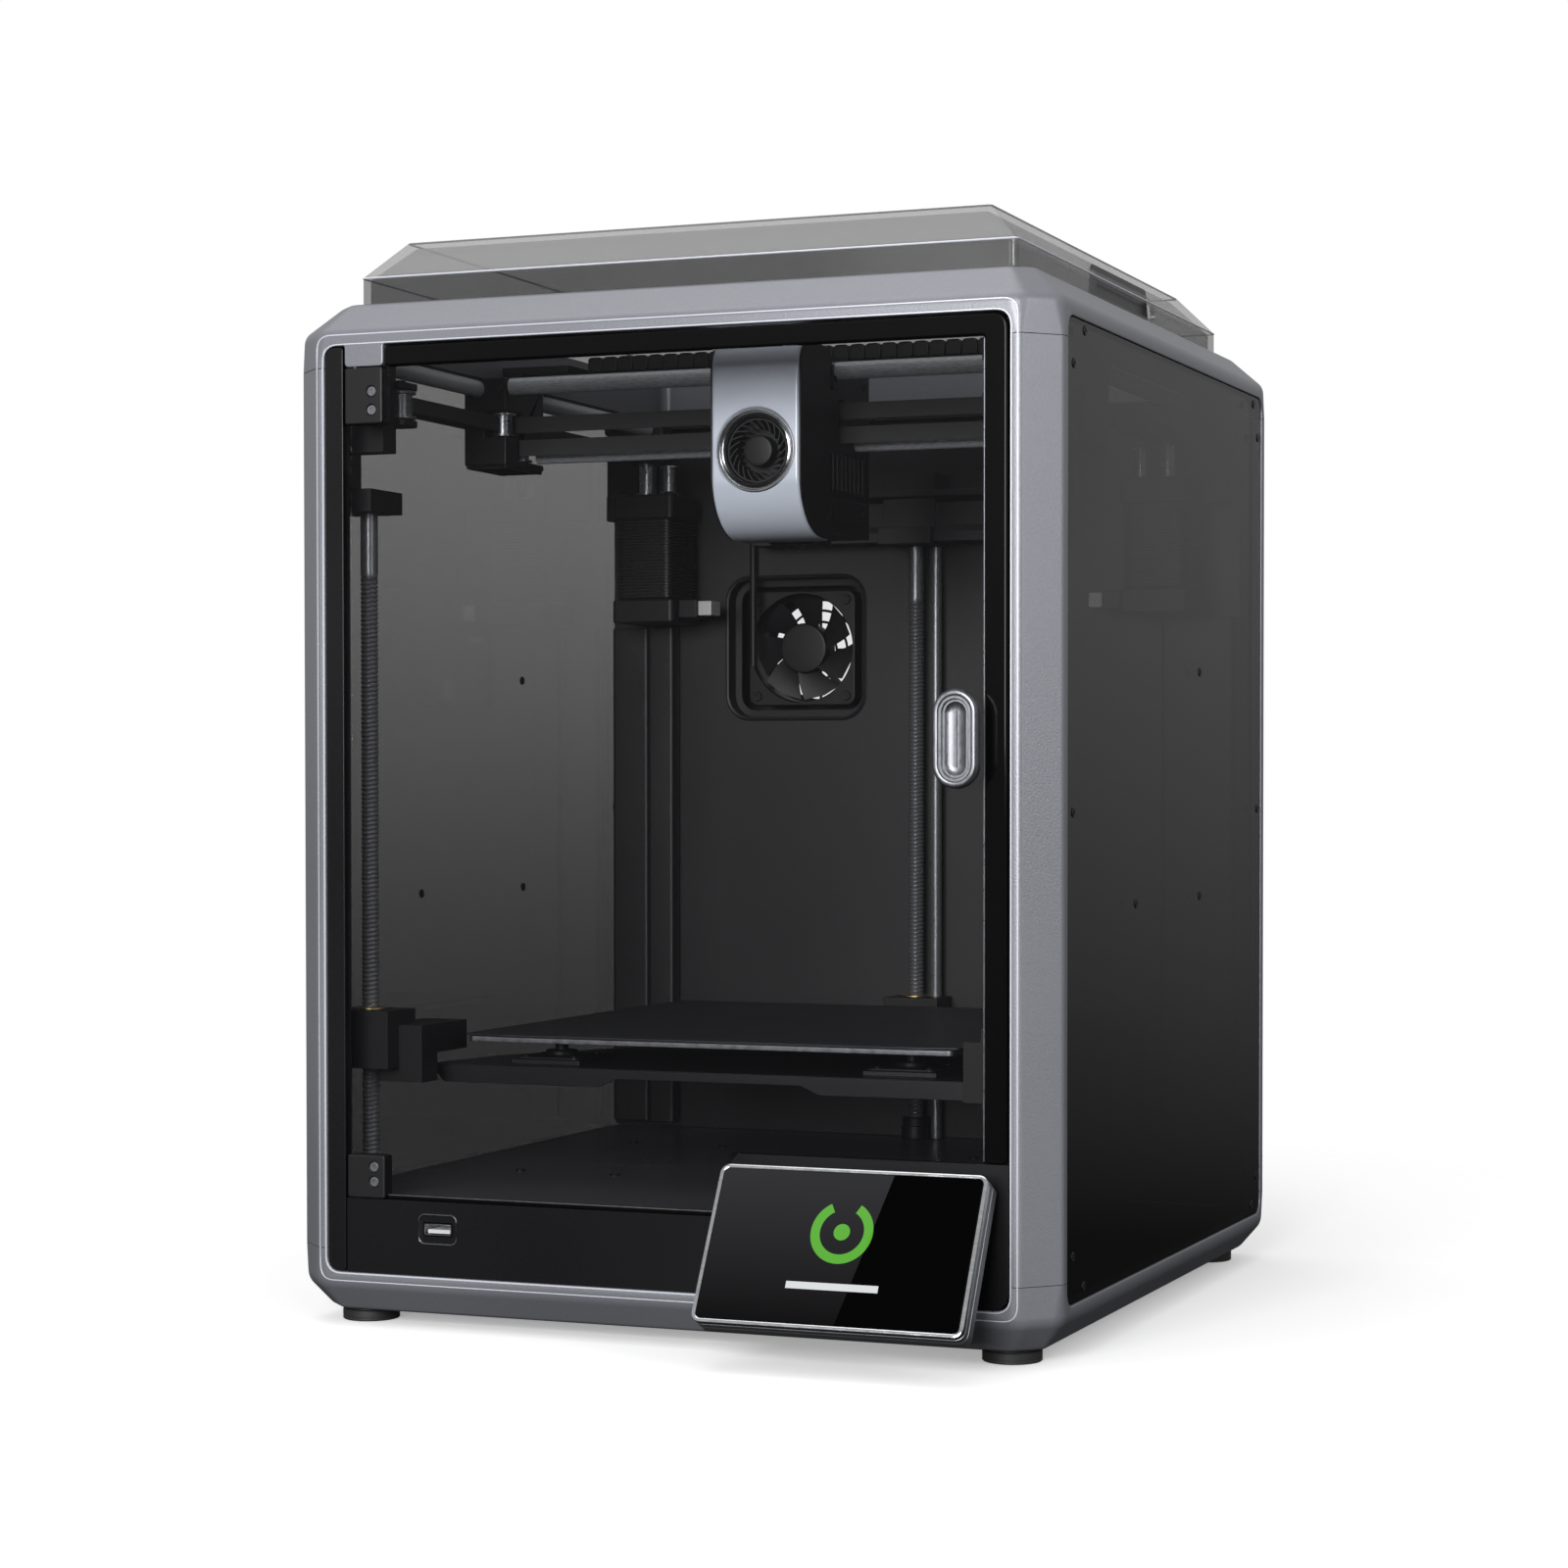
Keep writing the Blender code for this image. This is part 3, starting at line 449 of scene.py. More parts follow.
def drawn_metal(name, colour, roughness, stretch, grain=260.0, metallic=1.0):
    """Ground or drawn metal: noise stretched along the work, in relief and in gloss."""
    made = Nodes(name, Metallic=metallic)
    streak = made.noise(grain, 3.0, stretch)
    made.feed("Base Color", made.ramp(streak, shades(colour, 0.86, 1.1)))
    made.feed("Roughness", made.ramp(streak, [(0.25, roughness * 0.75), (0.75, roughness * 1.3)]))
    made.bump(streak, 0.06, 0.0001)
    return made.material


def tinted(name, colour, clear_low, clear_high, low, high, roughness=0.04, upper=None):
    """Tinted sheet whose cover changes from the one height to the other; it lets light straight through.

    Above the high height its colour can be another one.
    """
    made = Nodes(name, Specular_IOR_Level=0.5)
    here = made.add("ShaderNodeTexCoord").outputs["Object"]
    height = made.add("ShaderNodeSeparateXYZ", {0: here}).outputs[2]
    # the cover rising with height makes a sheet darker towards the bottom where the two clearnesses differ: painted
    # shade
    climb = made.add("ShaderNodeMapRange", {0: height, 1: low * MM, 2: high * MM, 3: 1 - clear_low,
                                            4: 1 - clear_high}, interpolation_type="SMOOTHSTEP")
    made.feed("Alpha", climb.outputs[0])
    haze = made.noise(3.0, 2.0)
    tone = made.ramp(haze, shades(colour, 0.85, 1.15))
    if upper:
        # a lighter colour over the lid's shoulder and roof: painted highlight of the overhead light
        highlight_share = made.add("ShaderNodeMapRange", {0: height, 1: (high - 1) * MM, 2: (high + 1) * MM}).outputs[0]
        tone = made.add("ShaderNodeMix", {0: highlight_share, 6: tone, 7: (*upper, 1)}, data_type="RGBA").outputs[2]
    made.feed("Base Color", tone)
    made.feed("Roughness", made.ramp(made.noise(9.0, 3.0), [(0.3, roughness * 0.6), (0.7, roughness * 1.6)]))
    return made.material


def screen_finish(name):
    """The display's picture on the glass's own UV: a dim slanted fade, a green ring and a plain bar."""
    made = Nodes(name, Roughness=0.03, Specular_IOR_Level=0.03)
    uv = made.add("ShaderNodeUVMap", uv_map="face")
    parts = made.add("ShaderNodeSeparateXYZ", {0: uv.outputs[0]})
    u, v = parts.outputs[0], parts.outputs[1]
    # a grey glow left of a slanted line, stronger towards the top: painted reflection of a softbox on the glass
    slant = made.math("MULTIPLY_ADD", v, 0.13, 0.53)
    side = made.math("SUBTRACT", slant, u)
    reflection_side = made.math("GREATER_THAN", side, 0.0)
    fade = made.math("MULTIPLY", reflection_side, made.math("MULTIPLY_ADD", v, 0.030, 0.004))
    dx, dy = made.math("SUBTRACT", u, 0.5), made.math("MULTIPLY", made.math("SUBTRACT", v, 0.6), 0.585)
    far = made.math("SQRT", made.math("ADD", made.math("POWER", made.math("ABSOLUTE", dx), 2.0),
                                      made.math("POWER", made.math("ABSOLUTE", dy), 2.0)))
    ring = made.math("COMPARE", far, 0.098, 0.017)
    angle = made.math("ARCTAN2", dx, dy)
    swept = made.math("GREATER_THAN", made.math("ABSOLUTE", angle), 0.5)
    green = made.math("MULTIPLY", ring, swept)
    dot = made.math("LESS_THAN", far, 0.03)
    across = made.math("LESS_THAN", made.math("ABSOLUTE", dx), 0.17)
    down = made.math("COMPARE", v, 0.26, 0.022)
    bar = made.math("MULTIPLY", across, down)
    green_and_dot = made.math("MAXIMUM", green, dot)
    mix = made.add("ShaderNodeMix", {0: green_and_dot, 6: (0.0, 0.0, 0.0, 1), 7: (0.10, 0.42, 0.03, 1)},
                   data_type="RGBA")
    mark = made.add("ShaderNodeMix", {0: bar, 6: mix.outputs[2], 7: (0.72, 0.74, 0.75, 1)}, data_type="RGBA")
    glow = made.add("ShaderNodeMix", {0: 1.0, 6: mark.outputs[2]}, data_type="RGBA", blend_type="ADD")
    # the painted reflection's grey, glowing with the picture
    grey = made.add("ShaderNodeCombineXYZ", {0: fade, 1: fade, 2: made.math("MULTIPLY", fade, 1.08)})
    made.tree.links.new(grey.outputs[0], glow.inputs[7])
    made.feed("Emission Color", glow.outputs[2])
    made.shader.inputs["Emission Strength"].default_value = 1.0
    made.shader.inputs["Base Color"].default_value = (0.0006, 0.0006, 0.0007, 1)
    return made.material


def look():
    """The colours and sizes a user can change."""
    return bpy.context.scene.printer_look


MAKERS = {
    "frame_paint": lambda n: grained(n, tuple(look().frame_paint), 0.38, 0.35, grain=1100.0, relief=0.42,
                                     spread=0.10),
    # a lighter copy of the frame paint for thin lines along the frame's and lid's edges: painted highlight
    "highlight_paint": lambda n: grained(n, tuple(min(1.0, c * 3.1) for c in look().frame_paint), 0.3, 0.2,
                                   grain=1500.0, relief=0.03, spread=0.05),
    # the side panels' cover rises from bottom to top, so they read darker low down: painted shade
    "smoked": lambda n: tinted(n, (0.004, 0.004, 0.004), look().panel_clear_low, look().panel_clear_high,
                               60, 440, 0.05),
    # the lid's lighter roof colour paints the overhead light's highlight on the shoulders
    "lid_tint": lambda n: tinted(n, (0.030, 0.030, 0.031), look().lid_clear, look().lid_clear, 440, 463.6, 0.18,
                                 upper=(0.23, 0.23, 0.232)),
    "powder_black": lambda n: grained(n, tuple(look().sheet_paint), 0.42, 0.2, grain=1300.0, relief=0.10),
    # the powder coat eight times lighter on the chamber floor: painted sheen
    "floor_painted_sheen": lambda n: grained(n, tuple(c * 8 for c in look().sheet_paint), 0.30, 0.2, grain=1300.0,
                                      relief=0.10),
    "gloss_black": lambda n: grained(n, (0.008, 0.008, 0.009), 0.26, 0.0, grain=700.0, relief=0.02, spread=0.2,
                                     specular=0.25),
    "door_print": lambda n: grained(n, (0.003, 0.003, 0.003), 0.08, 0.0, grain=500.0, relief=0.0, spread=0.2,
                                    specular=0.15),
    "satin_black": lambda n: grained(n, tuple(look().plastic_black), 0.42, 0.0, grain=1800.0, relief=0.14,
                                     spread=0.2, specular=0.3),
    "white_plastic": lambda n: grained(n, (0.55, 0.55, 0.56), 0.35, 0.0, grain=900.0, relief=0.05, spread=0.06),
    "bright": lambda n: drawn_metal(n, (0.36, 0.37, 0.39), 0.30, (1, 1, 14)),
    "chrome": lambda n: drawn_metal(n, (0.66, 0.67, 0.69), 0.14, (1, 1, 3)),
    "satin_metal": lambda n: drawn_metal(n, (0.17, 0.175, 0.19), 0.32, (3, 3, 1), metallic=0.8),
    "steel": lambda n: drawn_metal(n, (0.80, 0.82, 0.87), 0.28, (1, 14, 14), metallic=0.25),
    "dark_steel": lambda n: drawn_metal(n, (0.20, 0.205, 0.22), 0.30, (10, 10, 1), metallic=0.6),
    "display_grey": lambda n: grained(n, (0.23, 0.235, 0.25), 0.32, 0.75, grain=1500.0, relief=0.08),
    "screen": screen_finish,
    "foot_rubber": lambda n: grained(n, (0.018, 0.018, 0.018), 0.55, 0.0, grain=1000.0, relief=0.25, spread=0.2),
    "belt_rubber": lambda n: grained(n, (0.014, 0.014, 0.015), 0.6, 0.0, grain=1600.0, relief=0.3, spread=0.25),
    "bed_black": lambda n: grained(n, (0.018, 0.018, 0.020), 0.36, 0.5, grain=1500.0, relief=0.12, spread=0.2),
    "heater_metal": lambda n: drawn_metal(n, (0.22, 0.225, 0.24), 0.42, (1, 12, 1)),
    "plate_coat": lambda n: grained(n, (0.020, 0.021, 0.024), 0.46, 0.35, grain=2600.0, relief=0.5, spread=0.3),
    "head_paint": lambda n: grained(n, tuple(look().head_paint), 0.30, 0.12, grain=1600.0, relief=0.06,
                                    spread=0.05),
    "brass": lambda n: drawn_metal(n, (0.62, 0.46, 0.22), 0.3, (1, 1, 6)),
    "door_pane": lambda n: tinted(n, (0.012, 0.012, 0.014), look().door_clear, look().door_clear, 60, 430, 0.02),
}


# ---------------------------------------------------------------- cabinet

HALF = span("base_tray")[1]
SEAM_LOW = span("base_tray")[5]
SEAM_HIGH = span("post_front_left")[5] + 0.3
FRAME_LOW, FRAME_TOP = span("base_tray")[4], span("top_frame")[5]
BEVEL_X, BEVEL_Y = 14.5, 13.9           # the corner bevel's reach along X and along Y
CHAMFER_LOW, CHAMFER_HIGH = 18.7, 436.2
INSET_LOW, INSET_HIGH = 10.6, 15.9
WINDOW = 158.5
WINDOW_LOW, WINDOW_HIGH = 24.2, 430.0
WINDOW_CORNER = 6.5
HINGE = span("hinge_block_upper")
HINGE_LOW = span("hinge_block_lower")
TAB = (-148.4, -129.2)
PANE = span("door_glass")


def cabinet_ring(inset, z):
    """The cabinet's eight-sided outline at one height, softer at its corners near the two chamfers."""
    half, x, y = HALF - inset, HALF - BEVEL_X - inset * 0.6, HALF - BEVEL_Y - inset * 0.6
    near = min(abs(z - CHAMFER_LOW - 1), abs(z - CHAMFER_HIGH + 1))
    reach = 1.7 + 3.6 * math.exp(-(near / 6.0) ** 2)
    corners = [(-x, -half), (x, -half), (half, -y), (half, y), (x, half), (-x, half), (-half, y), (-half, -y)]
    return lift(bend(corners, min(reach, (HALF - x) * 0.4), 5), z, "Z")


def cabinet_skin(profile):
    """A solid whose sides follow the profile's (inset, height) pairs all round."""
    return skin([cabinet_ring(inset, z) for inset, z in profile])


def window_cutters():
    """Prisms for the front, side and rear windows; their mouths flare by a rounded lip."""
    lip = [(-9.0, -0.9), (0.0, -0.75), (0.3, -0.25), (0.95, 0.0)]
    left, right = -WINDOW, WINDOW
    corners = [(left, WINDOW_LOW), (right, WINDOW_LOW), (right, WINDOW_HIGH), (TAB[1], WINDOW_HIGH),
               (TAB[1], SEAM_HIGH - 0.3), (TAB[0], SEAM_HIGH - 0.3), (TAB[0], WINDOW_HIGH), (left, WINDOW_HIGH)]
    front = bend(corners, [6.5, 6.5, 6.5, 1.2, 2.4, 2.4, 1.2, 4.0], 5)
    rear = plate_outline(left, right, WINDOW_LOW, WINDOW_HIGH, WINDOW_CORNER)
    sides = plate_outline(-WINDOW, WINDOW, WINDOW_LOW, WINDOW_HIGH, WINDOW_CORNER)
    rows = [(-HALF + d, i) for d, i in lip]
    return [stack(front, [*rows, (-WINDOW + 2, 0)], "Y"),
            stack(rear, [(WINDOW - 2, 0), *[(-y, i) for y, i in rows[::-1]]], "Y"),
            stack(sides, [*rows, *[(-x, i) for x, i in rows[::-1]]], "X"),
            block(TAB[0] - 1, TAB[1] + 1, -171.5, -150, 405, WINDOW_HIGH, 0.2, 0.1)]


def build_cabinet():
    """The frame's three mouldings: top, four posts and base."""
    opening = block(-145, 145, -145, 145, 410, 470, 5, 0.2)
    roof = bend([(0, SEAM_HIGH), (0, CHAMFER_HIGH), (INSET_HIGH, FRAME_TOP), (26, FRAME_TOP)], [1, 3.0, 2.4, 1],
                5, closed=False)
    top = carved("frame_top", [cabinet_skin(roof)], [opening, *window_cutters()])
    settle("frame_top", top, "frame_paint", "base", ["top_frame"])
    cavity = stack(bend([(-162, -171.6), (162, -171.6), (172.6, -162), (172.6, 162), (162, 171.6), (-162, 171.6),
                         (-172.6, 162), (-172.6, -162)], 1.0, 2), [(SEAM_LOW - 5, 0), (SEAM_HIGH + 5, 0)])
    posts = carved("frame_posts", [cabinet_skin([(0, SEAM_LOW + 0.3), (0, SEAM_HIGH - 0.3)])],
                   [*window_cutters()[:3], cavity])
    settle("frame_posts", posts, "frame_paint", "base",
           ["post_front_left", "post_front_right", "post_rear_left", "post_rear_right"])
    # two thin tubes of the lighter paint along the window's rim and the ring's outer edge: painted highlight lines
    lip = drawn_in(bend([(-WINDOW, WINDOW_LOW), (WINDOW, WINDOW_LOW), (WINDOW, WINDOW_HIGH), (-WINDOW, WINDOW_HIGH)],
                        [6.5, 6.5, 6.5, 6.5], 6), -0.75)
    edge = drawn_in(bend([(-163, CHAMFER_LOW + 0.6), (163, CHAMFER_LOW + 0.6), (163, CHAMFER_HIGH - 0.4),
                          (-163, CHAMFER_HIGH - 0.4)], 7.5, 6), 0.9)
    lines = [tube(lift(lip, -HALF + 0.28, "Y"), 0.42, 6, wrap=True),
             tube(lift(edge, -HALF + 0.30, "Y"), 0.34, 6, wrap=True)]
    piece("frame_highlight_lines", lines, "highlight_paint", "base")
    sole = bend([(24, FRAME_LOW), (INSET_LOW, FRAME_LOW), (0, CHAMFER_LOW), (0, SEAM_LOW)], [1, 2.2, 3.0, 1], 5,
                closed=False)
    well = block(-152, 152, -152, 152, 9, 60, 4, 0.2)
    base = carved("frame_base", [cabinet_skin(sole)], [well, *window_cutters()[:3]])
    settle("frame_base", base, "frame_paint", "base", ["base_tray"])


def build_panels():
    """Finishes for the flat panels, and the screws that hold them."""
    for node in ("side_panel_left", "side_panel_right"):
        coat_node(node, "smoked")
    for node in ("chamber_back_wall", "rear_panel"):
        coat_node(node, "powder_black")
    # the floor's lighter powder coat is painted sheen
    coat_node("chamber_floor", "floor_painted_sheen")
    places = [(-149.4, 411), (-134.5, 426.2), (143.2, 426), (158 - 6, 410.4), (-149.7, 227), (152, 226.3),
              (-149.6, 43.8), (-134.7, 29.6), (152, 43.2), (142.8, 29.6), (44.9, 290.7), (-59.1, 186.4),
              (45.4, 186.4)]
    for side, word in ((-1, "left"), (1, "right")):
        face = span(f"side_panel_{word}")[0 if side < 0 else 1]
        heads = [cap_screw((face - side * 0.3, y, z), "X", side, 2.1, 0.75) for y, z in places]
        piece(f"side_panel_screws_{word}", heads, "satin_black", "base")
    heads = [cap_screw((x, y, 57), "Z", 1, 2.3, 0.9) for x in (-122, -73, 60, 120) for y in (-64, 60)]
    piece("floor_screws", heads, "satin_black", "base")


def coat_node(node, finish):
    """Gives a CAD node its finish."""
    for place in frame["nodes"][node].material_slots:
        place.material = finish_of(finish)


# ---------------------------------------------------------------- front

def build_front():
    """The black strip beside the door and the lower bezel with its port recess."""
    x0, x1, y0, y1, z0, z1 = span("left_trim")
    strip = slab(plate_outline(x0, x1, z0, z1, 1.6, 4), y0, y1, "Y", 0.5)
    piece("trim_strip", [strip], "gloss_black", "base", ["left_trim"])
    bezel = softened("lower_bezel", "gloss_black", 0.45, 2)
    u0, u1, _, _, w0, w1 = span("usb_port")
    u, w = (u0 + u1) / 2, (w0 + w1) / 2
    front = -177.0
    rim = plate_outline(u - 9.0, u + 9.0, w - 6.2, w + 6.2, 2.6)
    hollow = stack(rim, [(front - 1, -0.4), (front + 0.05, -0.25), (front + 0.45, 0.35)], "Y")
    helper = solid("port_recess", [hollow])
    cutter = bezel.modifiers.new("port_recess", "BOOLEAN")
    cutter.operation, cutter.object, cutter.solver = "DIFFERENCE", helper, "EXACT"
    bezel.modifiers.move(len(bezel.modifiers) - 1, 0)
    bake(bezel)
    bpy.data.objects.remove(helper)


def bake(item):
    """Applies every modifier of a piece to its mesh."""
    old = item.data
    item.data = bpy.data.meshes.new_from_object(item.evaluated_get(bpy.context.evaluated_depsgraph_get()))
    item.modifiers.clear()
    crisp(item.data)
    weigh_normals(item)
    bpy.data.meshes.remove(old)


def build_port():
    """USB port: shell with a flanged mouth, a white tongue with four contacts and a dark back."""
    x0, x1, y0, y1, z0, z1 = span("usb_port")
    mouth = plate_outline(x0 - 0.1, x1 + 0.1, z0 - 0.1, z1 + 0.1, 0.9, 4)
    shell = skin([lift(drawn_in(mouth, i), y, "Y") for y, i in
                  ((y1, 0.1), (y0 + 0.4, 0.1), (y0, 0.3), (y0, 0.55), (y0 + 0.5, 0.62), (y1 - 3, 0.62))])
    piece("usb_shell", [shell], "chrome", "base", ["usb_port"])
    tongue = block(x0 + 1.4, x1 - 1.4, y0 + 1.2, y1 - 3.2, z0 + 0.9, z0 + 2.6, 0.3, 0.2, "Y")
    piece("usb_tongue", [tongue], "white_plastic", "base")
    u, w = (x0 + x1) / 2, (z0 + z1) / 2
    rim = tube(lift(plate_outline(u - 9.2, u + 9.2, w - 6.4, w + 6.4, 2.8), -176.98, "Y"), 0.26, 6, wrap=True)
    piece("port_rim", [rim], "satin_metal", "base")


def build_display():
    """Tilted display: two-tone housing with a bright rim, and the glass with its picture."""
    top, left = (-190.0, 81.4), 36.9
    width, height = 117.6, 69.2
    tilt = math.radians(28.6)

    def leaned(surface):
        """Turns a surface from upright, with its top left corner at the origin, into place."""
        points, faces = surface
        y, z = points[:, 1], points[:, 2]
        turned_points = np.column_stack([points[:, 0] + left,
                                         top[0] + y * math.cos(tilt) + z * math.sin(tilt),
                                         top[1] - y * math.sin(tilt) + z * math.cos(tilt)])
        return turned_points, faces

    edge = plate_outline(0, width, -height, 0, 4.2, 7)
    rim = stack(edge, [(2.6, 0.05), (0.75, 0.0), (0.25, 0.25), (0.05, 0.75), (0.05, 1.3), (0.3, 1.75), (1.2, 1.9),
                       (2.6, 1.9)], "Y")
    band = stack(edge, [(2.6, 0.5), (3.2, 0.5), (3.4, 0.05), (6.6, 0.05), (6.8, 0.3), (7.1, 0.3), (7.3, 0.05),
                        (12.2, 0.05), (12.8, 0.3), (13.0, 0.9)], "Y")
    glass = stack(edge, [(1.2, 2.05), (0.55, 2.05), (0.35, 2.3)][::-1], "Y")
    piece("display_rim", [leaned(rim)], "chrome", "base", ["display_housing"])
    piece("display_shell", [leaned(band)], "display_grey", "base")
    pane = piece("display_pane", [leaned(glass)], "screen", "base", ["display_glass"])
    layer = pane.data.uv_layers.new(name="face")
    corners = np.empty(len(pane.data.loops), np.int32)
    pane.data.loops.foreach_get("vertex_index", corners)
    points = np.empty(len(pane.data.vertices) * 3)
    pane.data.vertices.foreach_get("co", points)
    points = points.reshape(-1, 3)[corners] / MM - (0, SHIFT, 0)
    up = (points[:, 2] - top[1]) / math.cos(tilt)
    flat = np.column_stack([(points[:, 0] - left) / width, 1 + up / height])
    layer.data.foreach_set("uv", flat.ravel())


def build_feet():
    """Four round feet with a stepped collar."""
    profile = [(0, 5.65), (10.9, 5.65), (11.2, 5.3), (11.2, 4.9), (12.35, 4.75), (12.6, 4.45), (12.6, 1.9),
               (12.45, 1.75), (12.45, 1.5), (12.6, 1.35), (12.6, 0.5), (12.2, 0.1), (11.6, 0.0), (0, 0.0)]
    for end in ("front", "rear"):
        for word in ("left", "right"):
            x0, x1, y0, y1, _, _ = span(f"foot_{end}_{word}")
            piece(f"foot_disc_{end}_{word}", [turned(profile, ((x0 + x1) / 2, (y0 + y1) / 2, 0), "Z", 48)],
                  "foot_rubber", "base", [f"foot_{end}_{word}"])


# ---------------------------------------------------------------- door and lid

def build_door():
    """Tinted pane, printed black border along its top and right edges, and a bright line beside it."""
    x0, x1, y0, y1, z0, z1 = PANE
    notch_x, notch_z = 35.0, 84.2
    border_x, border_z = x1 - 9.6, z1 - 9.0
    inner = x0 + 18.9
    low_z, high_z = HINGE_LOW[5] + 0.3, HINGE[4] + 1.9
    pane = bend([(inner, z0), (notch_x, z0), (notch_x, notch_z), (border_x, notch_z), (border_x, border_z),
                 (inner, border_z), (inner, high_z), (x0, high_z), (x0, low_z), (inner, low_z)],
                [1.2, 1.2, 2.0, 1.0, 1.0, 1.0, 1.2, 1.5, 1.5, 1.2], 3)
    piece("door_pane", [slab(pane, y0, y1, "Y", 0.45, 2)], "door_pane", "door", ["door_glass"])
    border = bend([(border_x, notch_z), (x1, notch_z), (x1, z1), (inner, z1), (inner, border_z),
                   (border_x, border_z)], [2.4, 2.4, 6.5, 2.4, 2.4, 2.0], 6)
    piece("door_border", [slab(border, y0 - 0.15, y1, "Y", 1.1, 4)], "door_print", "door")
    line = block(border_x - 0.55, border_x - 0.05, y0 - 0.12, y0 + 0.5, notch_z + 1, border_z - 1, 0.2, 0.1)
    piece("door_bright_line", [line], "satin_metal", "door")
    sill = block(inner + 1, notch_x - 1, y0 - 0.2, y1 + 0.2, z0 - 0.1, z0 + 1.5, 0.4, 0.3)
    piece("door_sill", [sill], "door_print", "door")
    glint = block(inner + 1, notch_x - 1, y0 - 0.3, y0 + 0.1, z0 + 1.5, z0 + 2.0, 0.15, 0.1)
    piece("door_sill_line", [glint], "chrome", "door")


def build_hinges():
    """Two hinge blocks with countersunk screws and their pins."""
    for word, limits, screws in (("upper", HINGE, (409.6, 401.5)), ("lower", HINGE_LOW, (71.0, 64.5))):
        x0, x1, y0, y1, z0, z1 = limits
        low, high = (z0, SEAM_HIGH - 0.6) if word == "upper" else (57.2, z1)
        body = block(x0, x1, y0, y1, low, high, 1.2, 0.8, "Y", 4)
        wells = [turned([(2.9, -0.5), (2.7, 0.15), (2.2, 0.7)], (-134.6, y0, z), "Y", 24) for z in screws]
        mesh = carved(f"hinge_{word}", [body], wells)
        settle(f"hinge_{word}", mesh, "satin_black", "door", [f"hinge_block_{word}"])
        heads = [cap_screw((-134.6, y0 + 0.72, z), "Y", -1, 2.15, 0.6) for z in screws]
        pin = turned([(0, -4), (1.0, -4), (1.2, -3.7), (1.2, 3.7), (1.0, 4), (0, 4)],
                     (-144.4, -174.5, high if word == "upper" else low), "Z", 20)
        piece(f"hinge_screws_{word}", [*heads, pin], "dark_steel", "door")


def build_handle():
    """Pull handle: an upright half-round ended plate with stepped rings round a long dish."""
    x0, x1, _, y1, z0, z1 = span("door_handle")
    outline = slot_outline((x0 + x1) / 2, (z0 + z1) / 2, x1 - x0, z1 - z0, 20)
    rows = [(y1, 4.4), (-184.8, 4.2), (-184.6, 1.0), (-184.9, 0.3), (-185.6, 0.0), (-188.4, 0.0), (-189.6, 0.35),
            (-190.3, 1.0), (-190.5, 1.8), (-190.3, 2.5), (-189.7, 2.75), (-189.5, 2.9), (-189.5, 3.9),
            (-189.3, 4.1), (-188.6, 4.2), (-188.4, 4.4), (-188.4, 5.2), (-188.2, 5.4), (-187.6, 5.5),
            (-187.3, 5.8), (-186.9, 7.0), (-186.8, 8.6)]
    piece("pull_handle", [stack(outline, rows, "Y")], "satin_metal", "door", ["door_handle"])


def build_lid():
    """Smoked lid: a thin shell with upright walls and sloped shoulders, and a finger scoop at the right."""
    x0, x1, y0, y1, low, top = span("lid")
    shoulder, run_x, run_y, thick = 463.4, 15.85, 13.5, 2.4
    middle_x, middle_y, half_x, half_y = (x0 + x1) / 2, (y0 + y1) / 2, (x1 - x0) / 2, (y1 - y0) / 2

    def ring(inset, z, share):
        """The lid's outline at one height, drawn in by a wall's inset and a share of the shoulder's run."""
        x, y = half_x - inset - run_x * share, half_y - inset - run_y * share
        points = bend([(-x, -y), (x, -y), (x, y), (-x, y)], 2.2 - 0.6 * share, 4)
        return lift(points + (middle_x, middle_y), z, "Z")

    def climb(inset, drop, bottom):
        """Profile rows (z, share): foot, softened shoulder and softened top edge, then in over the roof."""
        path = bend([(0.0, bottom), (0.0, (shoulder - drop * 0.4) / 100), (1.0, (top - drop) / 100),
                     (1.6, (top - drop) / 100)], [0.1, 0.012, 0.012, 0.1], 4, closed=False)
        return [ring(inset, z * 100, share) for share, z in path]

    outer, inner = climb(0.0, 0.0, low / 100), climb(thick, thick, (low - 2) / 100)
    scoop = stack(bend([(-44, 455.8), (50, 455.8), (46, 474), (-40, 474)], 2.5, 4), [(150.2, 1.5), (151.2, 0.2),
                                                                                  (158, -1.0)], "X")
    shell = carved("lid_shell", [skin(outer)], [skin(inner), scoop])
    settle("lid_shell", shell, "lid_tint", "lid", ["lid"])
    pocket = stack(bend([(-44, 455.8), (50, 455.8), (46, 470.0), (-40, 470.0)], 2.5, 4),
                   [(149.2, 2.0), (149.6, 0.6), (150.0, 0.3)], "X")
    piece("lid_scoop", [pocket], "gloss_black", "lid")
    corners = []
    for z, share, inset in ((low + 0.5, 0, 0.2), (shoulder - 0.2, 0, 0.1), (top - 0.5, 1, 0.15)):
        edge = ring(inset, z, share)
        corners.append(tube(edge, 0.42, 6, wrap=True))
    piece("lid_edges", [corners[0], corners[2]], "door_print", "lid")
    # a thin tube of the lighter paint along the shoulder: painted highlight line
    piece("lid_shoulder_highlight", [corners[1]], "highlight_paint", "lid")


# ---------------------------------------------------------------- Z drive and bed

SCREWS = {word: ((s[0] + s[1]) / 2, (s[2] + s[3]) / 2) for word, s in
          ((w, span(f"lead_screw_{w}")) for w in ("front_left", "front_right", "rear"))}
RODS = {word: ((s[0] + s[1]) / 2, (s[2] + s[3]) / 2, (s[1] - s[0]) / 2) for word, s in
        ((w, span(f"guide_rod_{w}")) for w in ("front_left", "front_right", "rear"))}


